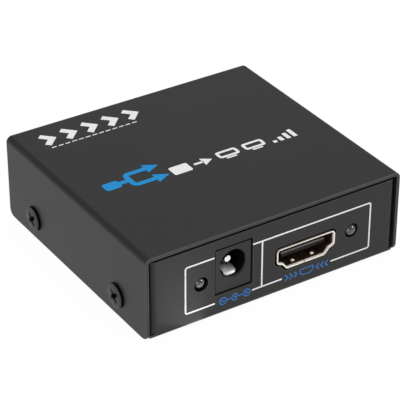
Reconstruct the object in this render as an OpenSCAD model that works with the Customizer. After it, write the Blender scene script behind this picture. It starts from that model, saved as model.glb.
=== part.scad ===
// Video splitter in a folded steel case: one input and a power jack in front, two outputs behind.
// The origin is under the middle of the case. +X runs along the front panel, +Y to the rear, +Z up.

/* [Case] */
// Width over the cover's sides
case_w = 64; // [60:0.5:90]
// Depth over the cover's front and rear edges
case_d = 59; // [54:0.5:90]
// Height from the floor's underside to the top
case_h = 20; // [18.5:0.5:30]

/* [Cover] */
// Sheet thickness of the cover
cover_t = 0.8; // [0.6:0.1:1.2]
// Inside radius of the two long bends
cover_bend_in = 0.6; // [0.3:0.1:2]
// Radius of the lower corners of the sides
cover_corner_r = 1.9; // [0.3:0.1:3]

/* [Base] */
// Sheet thickness of the base
base_t = 0.8; // [0.6:0.1:1.1]
// Inside radius of the bends between floor and panels
base_bend_in = 0.2; // [0.1:0.1:0.6]
// How far the panels sit behind the cover's edges
panel_recess = 0.2; // [0:0.1:1]
// Gap over the panels, under the cover's top
panel_top_gap = 0.6; // [0.2:0.1:0.8]
// Gap between the ears and the cover's sides
ear_gap = 0.4; // [0.1:0.05:0.5]
// Inside radius of the bends between panels and ears
ear_bend_in = 0.5; // [0.2:0.1:1]
// Strip of the panels left at full width above the floor's bend
ear_rise = 0.1; // [0.05:0.05:0.5]
// Slit between an ear and that strip
ear_relief = 0.15; // [0.1:0.05:0.4]
// Sheet left behind the screw in each ear
ear_margin = 3.6; // [3:0.1:6]

/* [Cover screws] */
// Thread diameter
screw_d = 3; // [2.5:0.1:3.2]
// Length under the head
screw_len = 4; // [3.2:0.1:4.6]
// Head diameter
screw_head_d = 5.6; // [4.6:0.1:6.4]
// Height of the head's rim
screw_rim_h = 0.55; // [0.45:0.05:1]
// Rise of the head's crown above the rim
screw_crown_h = 0.2; // [0.1:0.05:0.8]
// Distance from the case's front or rear edge
screw_inset = 11.8; // [9:0.1:16]
// Height above the floor's underside
screw_z = 5; // [4.6:0.1:9]
// Radial play in the cover's holes
screw_hole_clear = 0.2; // [0.1:0.05:0.5]
// Radial play of every thread
thread_clear = 0.03; // [0.01:0.01:0.08]
// Height of the drawn collar round each tapped hole
collar_h = 1.2; // [0.6:0.1:1.6]
// Wall of the drawn collar
collar_wall = 0.7; // [0.5:0.1:1]
// Width of a recess wing
cross_w = 0.75; // [0.5:0.05:1]
// Span of the recess from wing to wing
cross_span = 3.4; // [2:0.1:3.6]
// Depth of the recess
cross_depth = 0.6; // [0.4:0.05:0.65]

/* [Circuit board] */
// Board thickness
board_t = 1.6; // [1.2:0.1:2]
// Gap from the board to the ears
board_side_gap = 3.4; // [2.8:0.1:5]
// Gap from the board to the panels
board_end_gap = 0.8; // [0.4:0.1:2]
// Height of the standoffs above the floor
standoff_h = 3; // [2.4:0.1:4]
// Standoff diameter
standoff_d = 4.2; // [3.8:0.1:5]
// Width of the hexagon clinched in the floor, across its corners
standoff_hex_d = 6; // [5:0.1:7]
// Play of the clinched hexagon
clinch_clear = 0.02; // [0.01:0.01:0.05]
// Board screw thread diameter
board_screw_d = 2.5; // [2:0.1:3]
// Board screw length under the head
board_screw_len = 5; // [3.5:0.1:5.2]
// Board screw head diameter
board_head_d = 4.5; // [4:0.1:5]
// Board screw head height
board_head_h = 1.6; // [1.2:0.1:2]
// Radial play of the board's screw holes
board_hole_clear = 0.15; // [0.1:0.05:0.3]
// Board hole distance from the board's sides
board_hole_x = 3; // [2.8:0.1:4]
// Board hole distance from the board's front and rear edges
board_hole_y = 8; // [7.6:0.1:9]

/* [Video sockets] */
// Width of the opening
plug_w = 14.1; // [13.8:0.1:14.4]
// Height of the opening
plug_h = 4.55; // [4.4:0.05:4.8]
// Width of the opening's lower side
plug_floor_w = 9.5; // [9:0.1:10]
// Width of the opening at the shoulders' inner corners
shoulder_w = 11.5; // [11:0.1:12]
// Height of the shoulders' inner corners
shoulder_low = 1.25; // [1:0.05:1.4]
// Height of the shoulders' outer corners
shoulder_high = 1.75; // [1.6:0.05:2]
// Corner radius of the opening
socket_corner_r = 0.45; // [0.3:0.05:0.55]
// Sheet thickness of the shell
shell_t = 0.3; // [0.2:0.05:0.4]
// Length of the shell
shell_len = 11.4; // [10.5:0.1:12]
// Gap under the shell, above the board
shell_rise = 0.35; // [0.1:0.05:0.5]
// How far the lip round the mouth flares outwards
lip_flare = 0.2; // [0.1:0.05:0.4]
// Depth of the flare, from the mouth inwards
lip_d = 0.4; // [0.3:0.05:0.4]
// How far the lip stands proud of the panel
socket_proud = 0.2; // [0:0.05:0.2]
// Gap round the lip in the panel
socket_clear = 0.4; // [0.2:0.05:0.5]
// Width of the seam in the shell's floor
seam_gap = 0.08; // [0.04:0.02:0.16]
// Place of the seam, from the middle of the floor
seam_x = -0.35; // [-1:0.05:1]
// Width of a spring finger
finger_w = 1.2; // [1:0.1:2]
// Distance of the fingers from the middle
finger_x = 2.5; // [2:0.1:3]
// Length of a finger
finger_len = 5.3; // [4:0.1:5.3]
// Distance of a finger's root from the mouth
finger_root = 6; // [6:0.1:7.4]
// How far a finger's crown stands into the opening
finger_crown = 0.2; // [0.1:0.05:0.4]
// Distance of the crown from the finger's tip
finger_nose = 0.5; // [0.4:0.1:1.2]
// Slit round a finger
finger_slit = 0.25; // [0.15:0.05:0.4]
// Width of a soldered leg
leg_w = 1; // [0.8:0.1:1.4]
// Distance of the front legs from the mouth
leg_front = 3.4; // [2.6:0.1:4.4]
// Distance of the rear legs from the mouth
leg_rear = 9.4; // [8:0.1:10]
// Stretch of a leg or terminal under the board
leg_below = 0.8; // [0.4:0.1:1.4]
// Play of legs and terminals in the board's slots
leg_clear = 0.15; // [0.1:0.05:0.3]
// Width of the tongue
tongue_w = 11.2; // [10.6:0.1:11.4]
// Thickness of the tongue
tongue_t = 1.4; // [1.2:0.1:1.5]
// Distance of the tongue's tip behind the mouth
tongue_recess = 1.3; // [1:0.1:2]
// Chamfer of the tongue's tip
tongue_chamfer = 0.3; // [0.1:0.05:0.5]
// Rise of the tongue above the middle of the opening
tongue_lift = 0.1; // [0:0.05:0.4]
// Length of the block that closes the shell's rear
insulator_back = 3.2; // [2.4:0.1:3.6]
// Play of the block in the shell
insulator_clear = 0.03; // [0.02:0.01:0.08]
// Width of a contact
contact_w = 0.35; // [0.25:0.05:0.4]
// Thickness of a contact
contact_t = 0.2; // [0.12:0.02:0.24]
// Spacing of the contacts in a row
contact_pitch = 1; // [0.95:0.05:1]
// Contacts in the upper row, one more than in the lower row
upper_contacts = 10; // [6:1:10]
// Distance of the contacts from the tongue's tip
contact_setback = 0.3; // [0.2:0.05:0.6]
// Play of the contacts in the block
contact_clear = 0.02; // [0.01:0.01:0.04]
// Distance of the contacts' tails behind the shell
tail_gap = 0.35; // [0.2:0.05:0.6]
// Length of a tail's foot on the board
tail_foot = 1.1; // [0.8:0.1:1.4]
// Place of the input socket along the front panel
input_x = 7.65; // [5:0.05:9]
// Distance of the output sockets from the middle of the rear panel
output_x = 11.6; // [10:0.1:12]

/* [Power jack] */
// Place of the jack along the front panel
jack_x = -10.6; // [-12:0.05:-9]
// Width of the housing
jack_w = 8.8; // [8.7:0.1:10]
// Height of the housing's front
jack_h = 10.5; // [10.4:0.1:11.2]
// Length of the housing
jack_len = 14.2; // [14:0.1:15]
// Thickness of the housing's square front
jack_front_d = 3.4; // [2.4:0.1:5]
// Distance of the housing's front behind the panel's face
jack_setback = 0.3; // [0:0.05:0.6]
// Gap beside and under the housing in the panel
jack_clear = 0.3; // [0.15:0.05:0.4]
// Gap over the housing in the panel
jack_top_clear = 0.55; // [0.2:0.05:0.8]
// Diameter of the plug's bore
barrel_d = 6.3; // [6.2:0.1:6.4]
// Height of the bore's axis above the board
barrel_z = 6.1; // [6:0.05:6.2]
// Depth of the bore
barrel_depth = 9.8; // [9.6:0.1:10]
// Chamfer of the bore's mouth
barrel_chamfer = 0.35; // [0.2:0.05:0.5]
// Wall over the bore behind the square front
barrel_wall = 1.1; // [0.8:0.1:1.2]
// Diameter of the centre pin
pin_d = 2; // [1.9:0.05:2.1]
// Distance of the pin's tip behind the housing's front
pin_setback = 2; // [1:0.1:2.6]
// Diameter of the pin's riveted shank
pin_shank_d = 1.5; // [1.2:0.1:1.7]
// Thickness of the jack's terminals
terminal_t = 0.4; // [0.3:0.05:0.5]
// Width of the jack's terminals
terminal_w = 2.4; // [1.8:0.1:2.6]
// Distance of the pin's terminal behind the housing's front
pin_terminal_y = 12.6; // [12.2:0.1:13]
// Play of the metal parts in the housing
jack_part_clear = 0.05; // [0.03:0.01:0.1]
// Thickness of the sleeve leaf
leaf_t = 0.3; // [0.2:0.05:0.35]
// Width of the sleeve leaf
leaf_w = 3; // [2.6:0.1:3.2]
// Distance of the leaf's pivot behind the housing's front
leaf_root_y = 10.2; // [10:0.05:10.3]
// Height of the leaf's pivot above the board
leaf_root_z = 2.2; // [2.1:0.05:2.3]
// Distance of the leaf's crown behind the housing's front
leaf_crown_y = 3.2; // [3:0.1:3.4]
// How far the crown stands into the bore
leaf_crown = 0.9; // [0.6:0.05:0.95]
// Length of the flat on the crown
leaf_flat = 1; // [0.6:0.1:1.4]
// Distance of the leaf's tip behind the housing's front
leaf_tip_y = 1; // [0.9:0.1:1.4]
// Height of the leaf's tip above the board
leaf_tip_z = 2.7; // [2.6:0.05:2.8]
// Floor of the housing under the leaf
leaf_floor = 1.1; // [0.9:0.1:1.2]
// Room beside and behind the leaf
leaf_room = 0.25; // [0.2:0.05:0.35]
// Distance of the switch wing behind the housing's front
wing_y = 7.1; // [6.8:0.1:7.4]
// Length of the switch wing
wing_len = 1; // [0.8:0.1:1.2]
// Reach of the switch wing beside the leaf
wing_reach = 1.4; // [1.2:0.1:1.5]
// Lap of the switch terminal over the wing
wing_lap = 0.8; // [0.5:0.05:0.8]
// Gap between the wing and the switch terminal
switch_gap = 0.05; // [0.04:0.01:0.1]

/* [LEDs] */
// Lens diameter
led_d = 3; // [2.8:0.1:3.2]
// Flange diameter
led_flange_d = 3.8; // [3.6:0.1:4]
// Length from dome to flange
led_len = 5.2; // [4.8:0.1:6]
// Flange thickness
led_flange_t = 1; // [0.6:0.1:1.2]
// Depth of the flat on one side of the flange
led_flat = 0.25; // [0.1:0.05:0.3]
// Height of the LEDs above the board
led_rise = 3.9; // [3.8:0.1:5]
// Radial gap in the panel's holes
led_clear = 0.23; // [0.15:0.01:0.4]
// Place of the power LED along the front panel
power_led_x = -18.6; // [-20:0.1:-18]
// Place of the input LED along the front panel
input_led_x = 19.6; // [18.6:0.1:21]
// Distance of the output LEDs from the middle of the rear panel
output_led_x = 22.6; // [22:0.1:23.2]
// How far the power LED stands proud of the panel
power_led_proud = 0; // [0:0.05:0.5]
// How far the input and output LEDs stand proud of the panels
video_led_proud = 0.4; // [0:0.05:0.5]
// Width of a lead
lead_w = 0.5; // [0.4:0.05:0.6]
// Spacing of the leads
lead_pitch = 2.54; // [2.2:0.02:2.6]
// Run of the leads behind the flange
lead_run = 1.5; // [1:0.1:1.8]
// Stretch of the leads under the board
lead_below = 1; // [0.6:0.1:1.4]
// Play of the leads in the board's holes
lead_clear = 0.1; // [0.08:0.01:0.2]

/* [Board components] */
// Side of the splitter chip
chip_w = 12; // [11.4:0.1:12.4]
// Thickness of the splitter chip's body
chip_t = 1.4; // [1:0.1:2]
// Gap under every chip's body
chip_rise = 0.1; // [0.05:0.05:0.2]
// Leads along one side of the splitter chip
chip_side_leads = 16; // [8:1:16]
// Spacing of the splitter chip's leads
chip_pitch = 0.65; // [0.5:0.05:0.7]
// Width of a chip lead
chip_lead_w = 0.3; // [0.2:0.05:0.4]
// Thickness of a chip lead
chip_lead_t = 0.15; // [0.1:0.01:0.2]
// Shoulder of a chip lead beside the body
chip_lead_shoulder = 0.4; // [0.3:0.05:0.5]
// Foot of a chip lead
chip_lead_foot = 0.7; // [0.5:0.05:0.8]
// Width of a memory chip's body
memory_w = 3.9; // [3.6:0.1:4.2]
// Length of a memory chip's body
memory_l = 4.9; // [4.8:0.1:5.2]
// Thickness of a memory chip's body
memory_t = 1.4; // [1.2:0.1:1.6]
// Spacing of a memory chip's leads
memory_pitch = 1.27; // [1.2:0.01:1.3]
// Width of the regulator's body
regulator_w = 6.5; // [6:0.1:7]
// Length of the regulator's body
regulator_l = 3.5; // [3:0.1:4]
// Thickness of the regulator's body
regulator_t = 1.6; // [1.2:0.1:2]
// Spacing of the regulator's leads
regulator_pitch = 2.3; // [2:0.1:2.5]
// Side of the inductor
inductor_w = 6; // [5:0.1:7]
// Height of the inductor
inductor_h = 3; // [2:0.1:4]
// Corner cut of the inductor
inductor_cut = 1.2; // [0.6:0.1:1.6]
// Diameter of a capacitor can
can_d = 6.3; // [5:0.1:6.6]
// Height of a capacitor can above its base
can_h = 4.6; // [3:0.1:8]
// Height of a capacitor's base
can_base_h = 0.8; // [0.5:0.1:1.2]
// Length of the crystal's case
crystal_l = 11.4; // [10:0.1:11.6]
// Width of the crystal's case
crystal_w = 4.7; // [4:0.1:5]
// Height of the crystal's case
crystal_h = 3.4; // [2.5:0.1:4]
// Length of a chip capacitor or resistor
passive_l = 1.6; // [1:0.1:1.8]
// Width of a chip capacitor or resistor
passive_w = 0.8; // [0.5:0.05:0.9]
// Height of a chip capacitor
capacitor_t = 0.8; // [0.5:0.05:1]
// Height of a chip resistor
resistor_t = 0.45; // [0.3:0.05:0.6]
// Spacing of the chip capacitors and resistors
passive_pitch = 1.7; // [1.4:0.1:1.8]
// Capacitors in a row, and resistors behind each socket
passive_count = 6; // [3:1:7]
// Gap from the splitter chip's leads to the capacitors
passive_gap = 0.4; // [0.3:0.1:0.8]
// Length of a surge array
surge_l = 2.5; // [2:0.1:2.9]
// Width of a surge array
surge_w = 1; // [0.8:0.1:1.2]
// Height of a surge array
surge_t = 0.5; // [0.4:0.05:0.7]
// Gap from the socket's tails to the surge arrays
surge_gap = 0.6; // [0.4:0.1:1]
// Spacing of the surge arrays behind a socket
surge_pitch = 3.4; // [3.2:0.1:4]
// Gap from the surge arrays to the resistors
resistor_gap = 1; // [0.6:0.1:1.4]

/* [Hidden] */
$fn = 64;

// Overshoot of every cut, so that no face is left behind
over = 1;
// Steps in each rounded corner of a socket's outline
corner_steps = 4;
// Steps in the flare of a socket's lip
lip_steps = 3;

cover_bend_r = cover_t + cover_bend_in;
base_bend_r = base_t + base_bend_in;
ear_bend_r = base_t + ear_bend_in;
ear_foot = base_bend_r + ear_rise + ear_relief;
base_w = case_w - 2 * (cover_t + ear_gap);
panel_span = case_d - 2 * panel_recess;
panel_top = case_h - cover_t - panel_top_gap;
ear_len = screw_inset - panel_recess + ear_margin;
board_w = base_w - 2 * (base_t + board_side_gap);
board_d = panel_span - 2 * (base_t + board_end_gap);
board_bottom = base_t + standoff_h;
board_top = board_bottom + board_t;
mouth_inset = -socket_proud;
opening_z = shell_rise + shell_t;
tongue_z = opening_z + plug_h / 2 + tongue_lift - tongue_t / 2;
block_y = shell_len - insulator_back;
tail_y = shell_len + tail_gap;
tail_end = tail_y + tail_foot;
surge_y = tail_end + surge_gap + surge_w / 2;
resistor_y = surge_y + surge_w / 2 + resistor_gap + passive_l / 2;
bore_floor = barrel_z - barrel_d / 2;
leaf_crown_z = bore_floor + leaf_crown;
crown_front = leaf_crown_y - leaf_flat / 2;
crown_rear = leaf_crown_y + leaf_flat / 2;
leaf_slope = (leaf_crown_z - leaf_root_z - leaf_t / 2) / (leaf_root_y - crown_rear);
// Underside of the switch terminal's finger, over the front edge of the leaf's wing
switch_z = leaf_crown_z - leaf_slope * (wing_y - wing_len / 2 - crown_rear) + switch_gap;
switch_x = leaf_w / 2 + wing_reach + leaf_room;
foot_z = -board_t - leg_below;
// Terminals where they pass the board: low X, low Y, width and depth
sleeve_foot = [-terminal_w / 2, leaf_root_y + leaf_room, terminal_w, terminal_t];
pin_foot = [-terminal_w / 2, pin_terminal_y, terminal_w, terminal_t];
switch_foot = [switch_x, wing_y - wing_len / 2, terminal_t, wing_len];
chip_reach = chip_w / 2 + chip_lead_shoulder + chip_lead_foot;
capacitor_y = chip_reach + passive_gap + passive_l / 2;
// Places of the board's own components, as shares of the board's width and depth from its middle
chip_at = board_share(0.075, 0);
memory_at = [board_share(0.34, -0.11), board_share(0.34, 0.11)];
regulator_at = board_share(-0.37, -0.18);
inductor_at = board_share(-0.37, 0);
cans_at = [board_share(-0.2, -0.135), board_share(-0.37, 0.13)];
crystal_at = board_share(-0.175, 0.055);

function board_share(x, y) = [x * board_w, y * board_d];
function unit(v) = v / norm(v);
function around(pts, i) = pts[(i + len(pts)) % len(pts)];
// Outward normal of an edge of a counter-clockwise outline
function edge_normal(a, b) = let (u = unit(b - a)) [u[1], -u[0]];
// Outline with every edge moved outwards by d
function grown(pts, d) = [
    for (i = [0 : len(pts) - 1])
        let (m = edge_normal(around(pts, i - 1), pts[i]), n = edge_normal(pts[i], around(pts, i + 1)))
            pts[i] + (m + n) * d / (1 + m * n)
];
// Points of the arc that rounds corner p between its neighbours a and b
function corner_arc(a, p, b, r) =
    let (
        u = unit(a - p),
        v = unit(b - p),
        half = acos(u * v) / 2,
        middle = p + unit(u + v) * r / sin(half),
        first = p + u * r / tan(half) - middle,
        last = p + v * r / tan(half) - middle,
        start = atan2(first[1], first[0]),
        sweep = (atan2(last[1], last[0]) - start + 540) % 360 - 180
    )
    [for (k = [0 : corner_steps]) let (t = start + sweep * k / corner_steps) middle + r * [cos(t), sin(t)]];
// Right half of the opening's corners, from the floor up, then the left half
socket_half = [
    [plug_floor_w / 2, 0],
    [shoulder_w / 2, shoulder_low],
    [plug_w / 2, shoulder_high],
    [plug_w / 2, plug_h]
];
socket_corners = concat(socket_half, [for (i = [3 : -1 : 0]) [-socket_half[i][0], socket_half[i][1]]]);
// The opening's outline grown by d, with its corners rounded
function socket_outline(d) =
    let (pts = grown(socket_corners, d))
    [
        for (i = [0 : len(pts) - 1])
            let (a = around(pts, i - 1), p = pts[i], b = around(pts, i + 1))
            let (outer = cross(p - a, b - p) > 0)
                each corner_arc(a, p, b, max(socket_corner_r + (outer ? d : -d), 0.05))
    ];

// Upright plate with round upper corners
module arch(w, h, r) {
    translate([-w / 2, 0]) square([w, h - r]);
    translate([r - w / 2, 0]) square([w - 2 * r, h]);
    for (s = [-1, 1]) translate([s * (w / 2 - r), h - r]) circle(r);
}
// Folded sheet seen end on: a bar with its two ends turned down
module channel(w, h, r, t) {
    difference() {
        arch(w, h, r);
        translate([0, -over]) arch(w - 2 * t, h - t + over, r - t);
    }
}
// Profile in X and Z, drawn out along Y
module along_y(from, to) {
    translate([0, to, 0]) rotate([90, 0, 0]) linear_extrude(to - from) children();
}
// Profile in Y and Z, drawn out along X to both sides
module along_x(w) {
    rotate([90, 0, 90]) linear_extrude(w, center = true) children();
}
// Box that is centred in X only
module bar(w, d, h) {
    translate([-w / 2, 0, 0]) cube([w, d, h]);
}
// Places on the two panels: X along the panel, Y inwards from its face, Z up from the board
module at_front(x) {
    translate([x, -panel_span / 2, board_top]) children();
}
module at_rear(x) {
    rotate([0, 0, 180]) translate([-x, -panel_span / 2, board_top]) children();
}
module at_every_socket() {
    at_front(input_x) children();
    for (s = [-1, 1]) at_rear(s * output_x) children();
}
module at_power_led() {
    at_front(power_led_x) translate([0, -power_led_proud, led_rise]) children();
}
module at_input_led() {
    at_front(input_led_x) translate([0, -video_led_proud, led_rise]) children();
}
module at_output_led(x) {
    at_rear(x) translate([0, -video_led_proud, led_rise]) children();
}
module at_every_led() {
    at_power_led() children();
    at_input_led() children();
    for (s = [-1, 1]) at_output_led(s * output_led_x) children();
}
// Places of the side screws, with Z pointing out of the case
module at_cover_screws() {
    for (turn = [0, 180], s = [-1, 1])
        rotate([0, 0, turn])
            translate([case_w / 2, s * (case_d / 2 - screw_inset), screw_z])
                rotate([0, 90, 0]) children();
}
module at_board_holes() {
    for (sx = [-1, 1], sy = [-1, 1])
        translate([sx * (board_w / 2 - board_hole_x), sy * (board_d / 2 - board_hole_y), 0]) children();
}

// Cover: one sheet folded into top and sides
module top_cover() {
    color("#3b393a")
    difference() {
        along_y(-case_d / 2, case_d / 2) channel(case_w, case_h, cover_bend_r, cover_t);
        for (s = [0, 180]) rotate([0, 0, s])
            along_x(case_w + over)
                difference() {
                    translate([-case_d / 2 - over, -over]) square(cover_corner_r + over);
                    translate([-case_d / 2 + cover_corner_r, cover_corner_r]) circle(cover_corner_r);
                }
        at_cover_screws()
            translate([0, 0, -cover_t - over])
                cylinder(r = screw_d / 2 + screw_hole_clear, h = cover_t + 2 * over);
    }
}

// Base: floor and panels in one sheet, with an ear folded back from each end of each panel
module panel_channel(w) {
    translate([0, 0, panel_top]) rotate([0, 180, 0])
        along_x(w) channel(panel_span, panel_top, base_bend_r, base_t);
}
// Ear seen from above: its bend laps into the panel it is folded from
module ear_profile() {
    translate([base_w / 2 - ear_bend_r, -panel_span / 2 + ear_bend_r])
        difference() {
            union() {
                circle(ear_bend_r);
                translate([-over, -ear_bend_r]) square([over, ear_bend_r]);
                square([ear_bend_r, ear_len - ear_bend_r]);
            }
            circle(ear_bend_in);
            translate([-ear_bend_r - over, -ear_bend_in]) square([ear_bend_r + over, 3 * ear_bend_r]);
            translate([-ear_bend_r - over, 0]) square([ear_bend_r + over + ear_bend_in, ear_len]);
        }
}
module ear() {
    translate([0, 0, ear_foot]) linear_extrude(panel_top - ear_foot) ear_profile();
}
module base_blank() {
    panel_channel(base_w - 2 * ear_bend_r);
    intersection() {
        panel_channel(base_w);
        translate([-base_w / 2, -panel_span / 2, 0]) cube([base_w, panel_span, ear_foot - ear_relief]);
    }
    for (mx = [0, 1], my = [0, 1]) mirror([mx, 0, 0]) mirror([0, my, 0]) ear();
    at_cover_screws()
        translate([0, 0, -cover_t - ear_gap - base_t - collar_h])
            cylinder(r = screw_d / 2 + collar_wall, h = collar_h + base_t / 2);
}
module base_tray() {
    color("#3b393a")
    difference() {
        base_blank();
        at_every_socket()
            translate([0, 0, opening_z])
                along_y(-over, base_t + over) polygon(socket_outline(shell_t + lip_flare + socket_clear));
        at_front(jack_x)
            translate([0, -over, -jack_clear])
                bar(jack_w + 2 * jack_clear, base_t + 2 * over, jack_h + jack_clear + jack_top_clear);
        at_every_led()
            translate([0, -over, 0])
                rotate([-90, 0, 0]) cylinder(r = led_d / 2 + led_clear, h = base_t + 2 * over);
        at_cover_screws()
            translate([0, 0, -cover_t - ear_gap - base_t - collar_h - over])
                cylinder(r = screw_d / 2 + thread_clear, h = base_t + collar_h + 2 * over);
        at_board_holes()
            translate([0, 0, -over])
                cylinder(d = standoff_hex_d + 2 * clinch_clear, h = base_t + 2 * over, $fn = 6);
    }
}

// Thin-head screws that hold the cover to the ears
module cover_screw() {
    head_r = screw_head_d / 2;
    crown_r = (head_r * head_r + screw_crown_h * screw_crown_h) / (2 * screw_crown_h);
    difference() {
        union() {
            translate([0, 0, -screw_len]) cylinder(d = screw_d, h = screw_len);
            cylinder(r = head_r, h = screw_rim_h);
            intersection() {
                translate([0, 0, screw_rim_h + screw_crown_h - crown_r]) sphere(crown_r);
                translate([0, 0, screw_rim_h]) cylinder(r = head_r, h = screw_crown_h + over);
            }
        }
        for (a = [45, 135])
            rotate([0, 0, a])
                translate([-cross_span / 2, -cross_w / 2, screw_rim_h + screw_crown_h - cross_depth])
                    cube([cross_span, cross_w, cross_depth + over]);
    }
}
module cover_screws() {
    color("#2b2a2a") at_cover_screws() cover_screw();
}

// Standoffs clinched in the floor, tapped right through
module board_standoffs() {
    color("silver")
    at_board_holes()
        difference() {
            union() {
                cylinder(d = standoff_hex_d, h = base_t, $fn = 6);
                cylinder(d = standoff_d, h = board_bottom);
            }
            translate([0, 0, -over])
                cylinder(r = board_screw_d / 2 + thread_clear, h = board_bottom + 2 * over);
        }
}
module board_screws() {
    color("silver")
    at_board_holes()
        translate([0, 0, board_top])
            difference() {
                union() {
                    translate([0, 0, -board_screw_len]) cylinder(d = board_screw_d, h = board_screw_len);
                    cylinder(d = board_head_d, h = board_head_h);
                }
                for (a = [0, 90])
                    rotate([0, 0, a])
                        translate([-cross_span / 2, -cross_w / 2, board_head_h - cross_depth])
                            cube([cross_span, cross_w, cross_depth + over]);
            }
}

// Circuit board with the slots and holes of everything soldered through it
module circuit_board() {
    color("#1f5a34")
    difference() {
        translate([-board_w / 2, -board_d / 2, board_bottom]) cube([board_w, board_d, board_t]);
        at_board_holes() cylinder(r = board_screw_d / 2 + board_hole_clear, h = board_top + over);
        at_every_socket() socket_legs(leg_clear, -board_t - over, over);
        at_jack()
            for (foot = [sleeve_foot, pin_foot, switch_foot])
                terminal_strip(foot, leg_clear, -board_t - over, over);
        at_every_led()
            at_leads()
                translate([0, 0, -led_rise - board_t - over])
                    cylinder(r = lead_w * sqrt(0.5) + lead_clear, h = board_t + 2 * over);
    }
}

// Video socket shell: folded sheet with a lip round its mouth, spring fingers and soldered legs
module socket_legs(clear, low, high) {
    for (s = [-1, 1], y = [leg_front, leg_rear])
        translate([s * (plug_w + shell_t) / 2, mouth_inset + y - leg_w / 2 - clear, low])
            bar(shell_t + 2 * clear, leg_w + 2 * clear, high - low);
}
module socket_fingers() {
    root = mouth_inset + finger_root;
    tip = root - finger_len;
    for (s = [-1, 1])
        translate([s * finger_x, 0, 0])
            along_x(finger_w)
                polygon([
                    [root + finger_slit, 0],
                    [root, 0],
                    [tip + finger_nose, finger_crown],
                    [tip, 0],
                    [tip, -shell_t],
                    [tip + finger_nose, finger_crown - shell_t],
                    [root, -shell_t],
                    [root + finger_slit, -shell_t]
                ]);
}
module finger_windows() {
    for (s = [-1, 1])
        translate([s * finger_x, mouth_inset + finger_root - finger_len - finger_slit, -shell_t - over])
            bar(finger_w + 2 * finger_slit, finger_len + finger_slit, shell_t + 2 * over);
}
// Feature of a socket's floor, repeated upside down in its roof
module floor_and_roof() {
    children();
    translate([0, 0, plug_h]) mirror([0, 0, 1]) children();
}
// Solid inside the opening's outline grown by d, flared at the mouth, and longer at both ends by spare
module flared_solid(d, spare) {
    step = lip_d / lip_steps;
    along_y(mouth_inset + lip_d - step / 2, mouth_inset + shell_len + spare) polygon(socket_outline(d));
    for (k = [1 : lip_steps]) {
        rear = mouth_inset + step * (lip_steps - k + 1);
        front = k < lip_steps ? rear - 1.5 * step : mouth_inset - spare;
        along_y(front, rear) polygon(socket_outline(d + lip_flare * pow(k / lip_steps, 2)));
    }
}
module socket_shell() {
    color("#d8cda8") {
        translate([0, 0, opening_z]) {
            difference() {
                flared_solid(shell_t, 0);
                flared_solid(0, over);
                floor_and_roof() finger_windows();
                translate([seam_x, mouth_inset - over, -shell_t - lip_flare - over])
                    bar(seam_gap, shell_len + 2 * over, shell_t + lip_flare + 2 * over);
            }
            floor_and_roof() socket_fingers();
        }
        socket_legs(0, foot_z, opening_z + shoulder_high + socket_corner_r);
    }
}

// Moulded tongue and the block behind it, which holds the contacts
module at_contacts() {
    for (i = [0 : upper_contacts - 1])
        translate([(i - (upper_contacts - 1) / 2) * contact_pitch, mouth_inset, tongue_z + tongue_t])
            children();
    for (i = [0 : upper_contacts - 2])
        translate([(i - (upper_contacts - 2) / 2) * contact_pitch, mouth_inset, tongue_z - contact_t])
            children();
}
module tongue_profile() {
    root = shell_len - tongue_recess;
    polygon([
        [tongue_chamfer, 0],
        [root, 0],
        [root, tongue_t],
        [tongue_chamfer, tongue_t],
        [0, tongue_t - tongue_chamfer],
        [0, tongue_chamfer]
    ]);
}
module socket_insulator() {
    color("#2a2622")
    difference() {
        union() {
            translate([0, 0, opening_z])
                along_y(mouth_inset + block_y, mouth_inset + shell_len)
                    polygon(socket_outline(-insulator_clear));
            translate([0, mouth_inset + tongue_recess, tongue_z]) along_x(tongue_w) tongue_profile();
        }
        at_contacts()
            translate([0, block_y - over, 0])
                bar(contact_w + 2 * contact_clear, insulator_back + 2 * over, contact_t);
    }
}
// Contact strip: blade along the tongue, tail down to the board and foot on it
module contact(blade_z) {
    along_x(contact_w)
        polygon([
            [tongue_recess + contact_setback, blade_z],
            [tail_y, blade_z],
            [tail_y, 0],
            [tail_end, 0],
            [tail_end, contact_t],
            [tail_y + contact_t, contact_t],
            [tail_y + contact_t, blade_z + contact_t],
            [tongue_recess + contact_setback, blade_z + contact_t]
        ]);
}
module socket_contacts() {
    color("#c9a24a") {
        for (i = [0 : upper_contacts - 1])
            translate([(i - (upper_contacts - 1) / 2) * contact_pitch, mouth_inset, 0])
                contact(tongue_z + tongue_t);
        for (i = [0 : upper_contacts - 2])
            translate([(i - (upper_contacts - 2) / 2) * contact_pitch, mouth_inset, 0])
                contact(tongue_z - contact_t);
    }
}
module input_shell() { at_front(input_x) socket_shell(); }
module input_insulator() { at_front(input_x) socket_insulator(); }
module input_contacts() { at_front(input_x) socket_contacts(); }
module output_1_shell() { at_rear(output_x) socket_shell(); }
module output_1_insulator() { at_rear(output_x) socket_insulator(); }
module output_1_contacts() { at_rear(output_x) socket_contacts(); }
module output_2_shell() { at_rear(-output_x) socket_shell(); }
module output_2_insulator() { at_rear(-output_x) socket_insulator(); }
module output_2_contacts() { at_rear(-output_x) socket_contacts(); }

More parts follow.
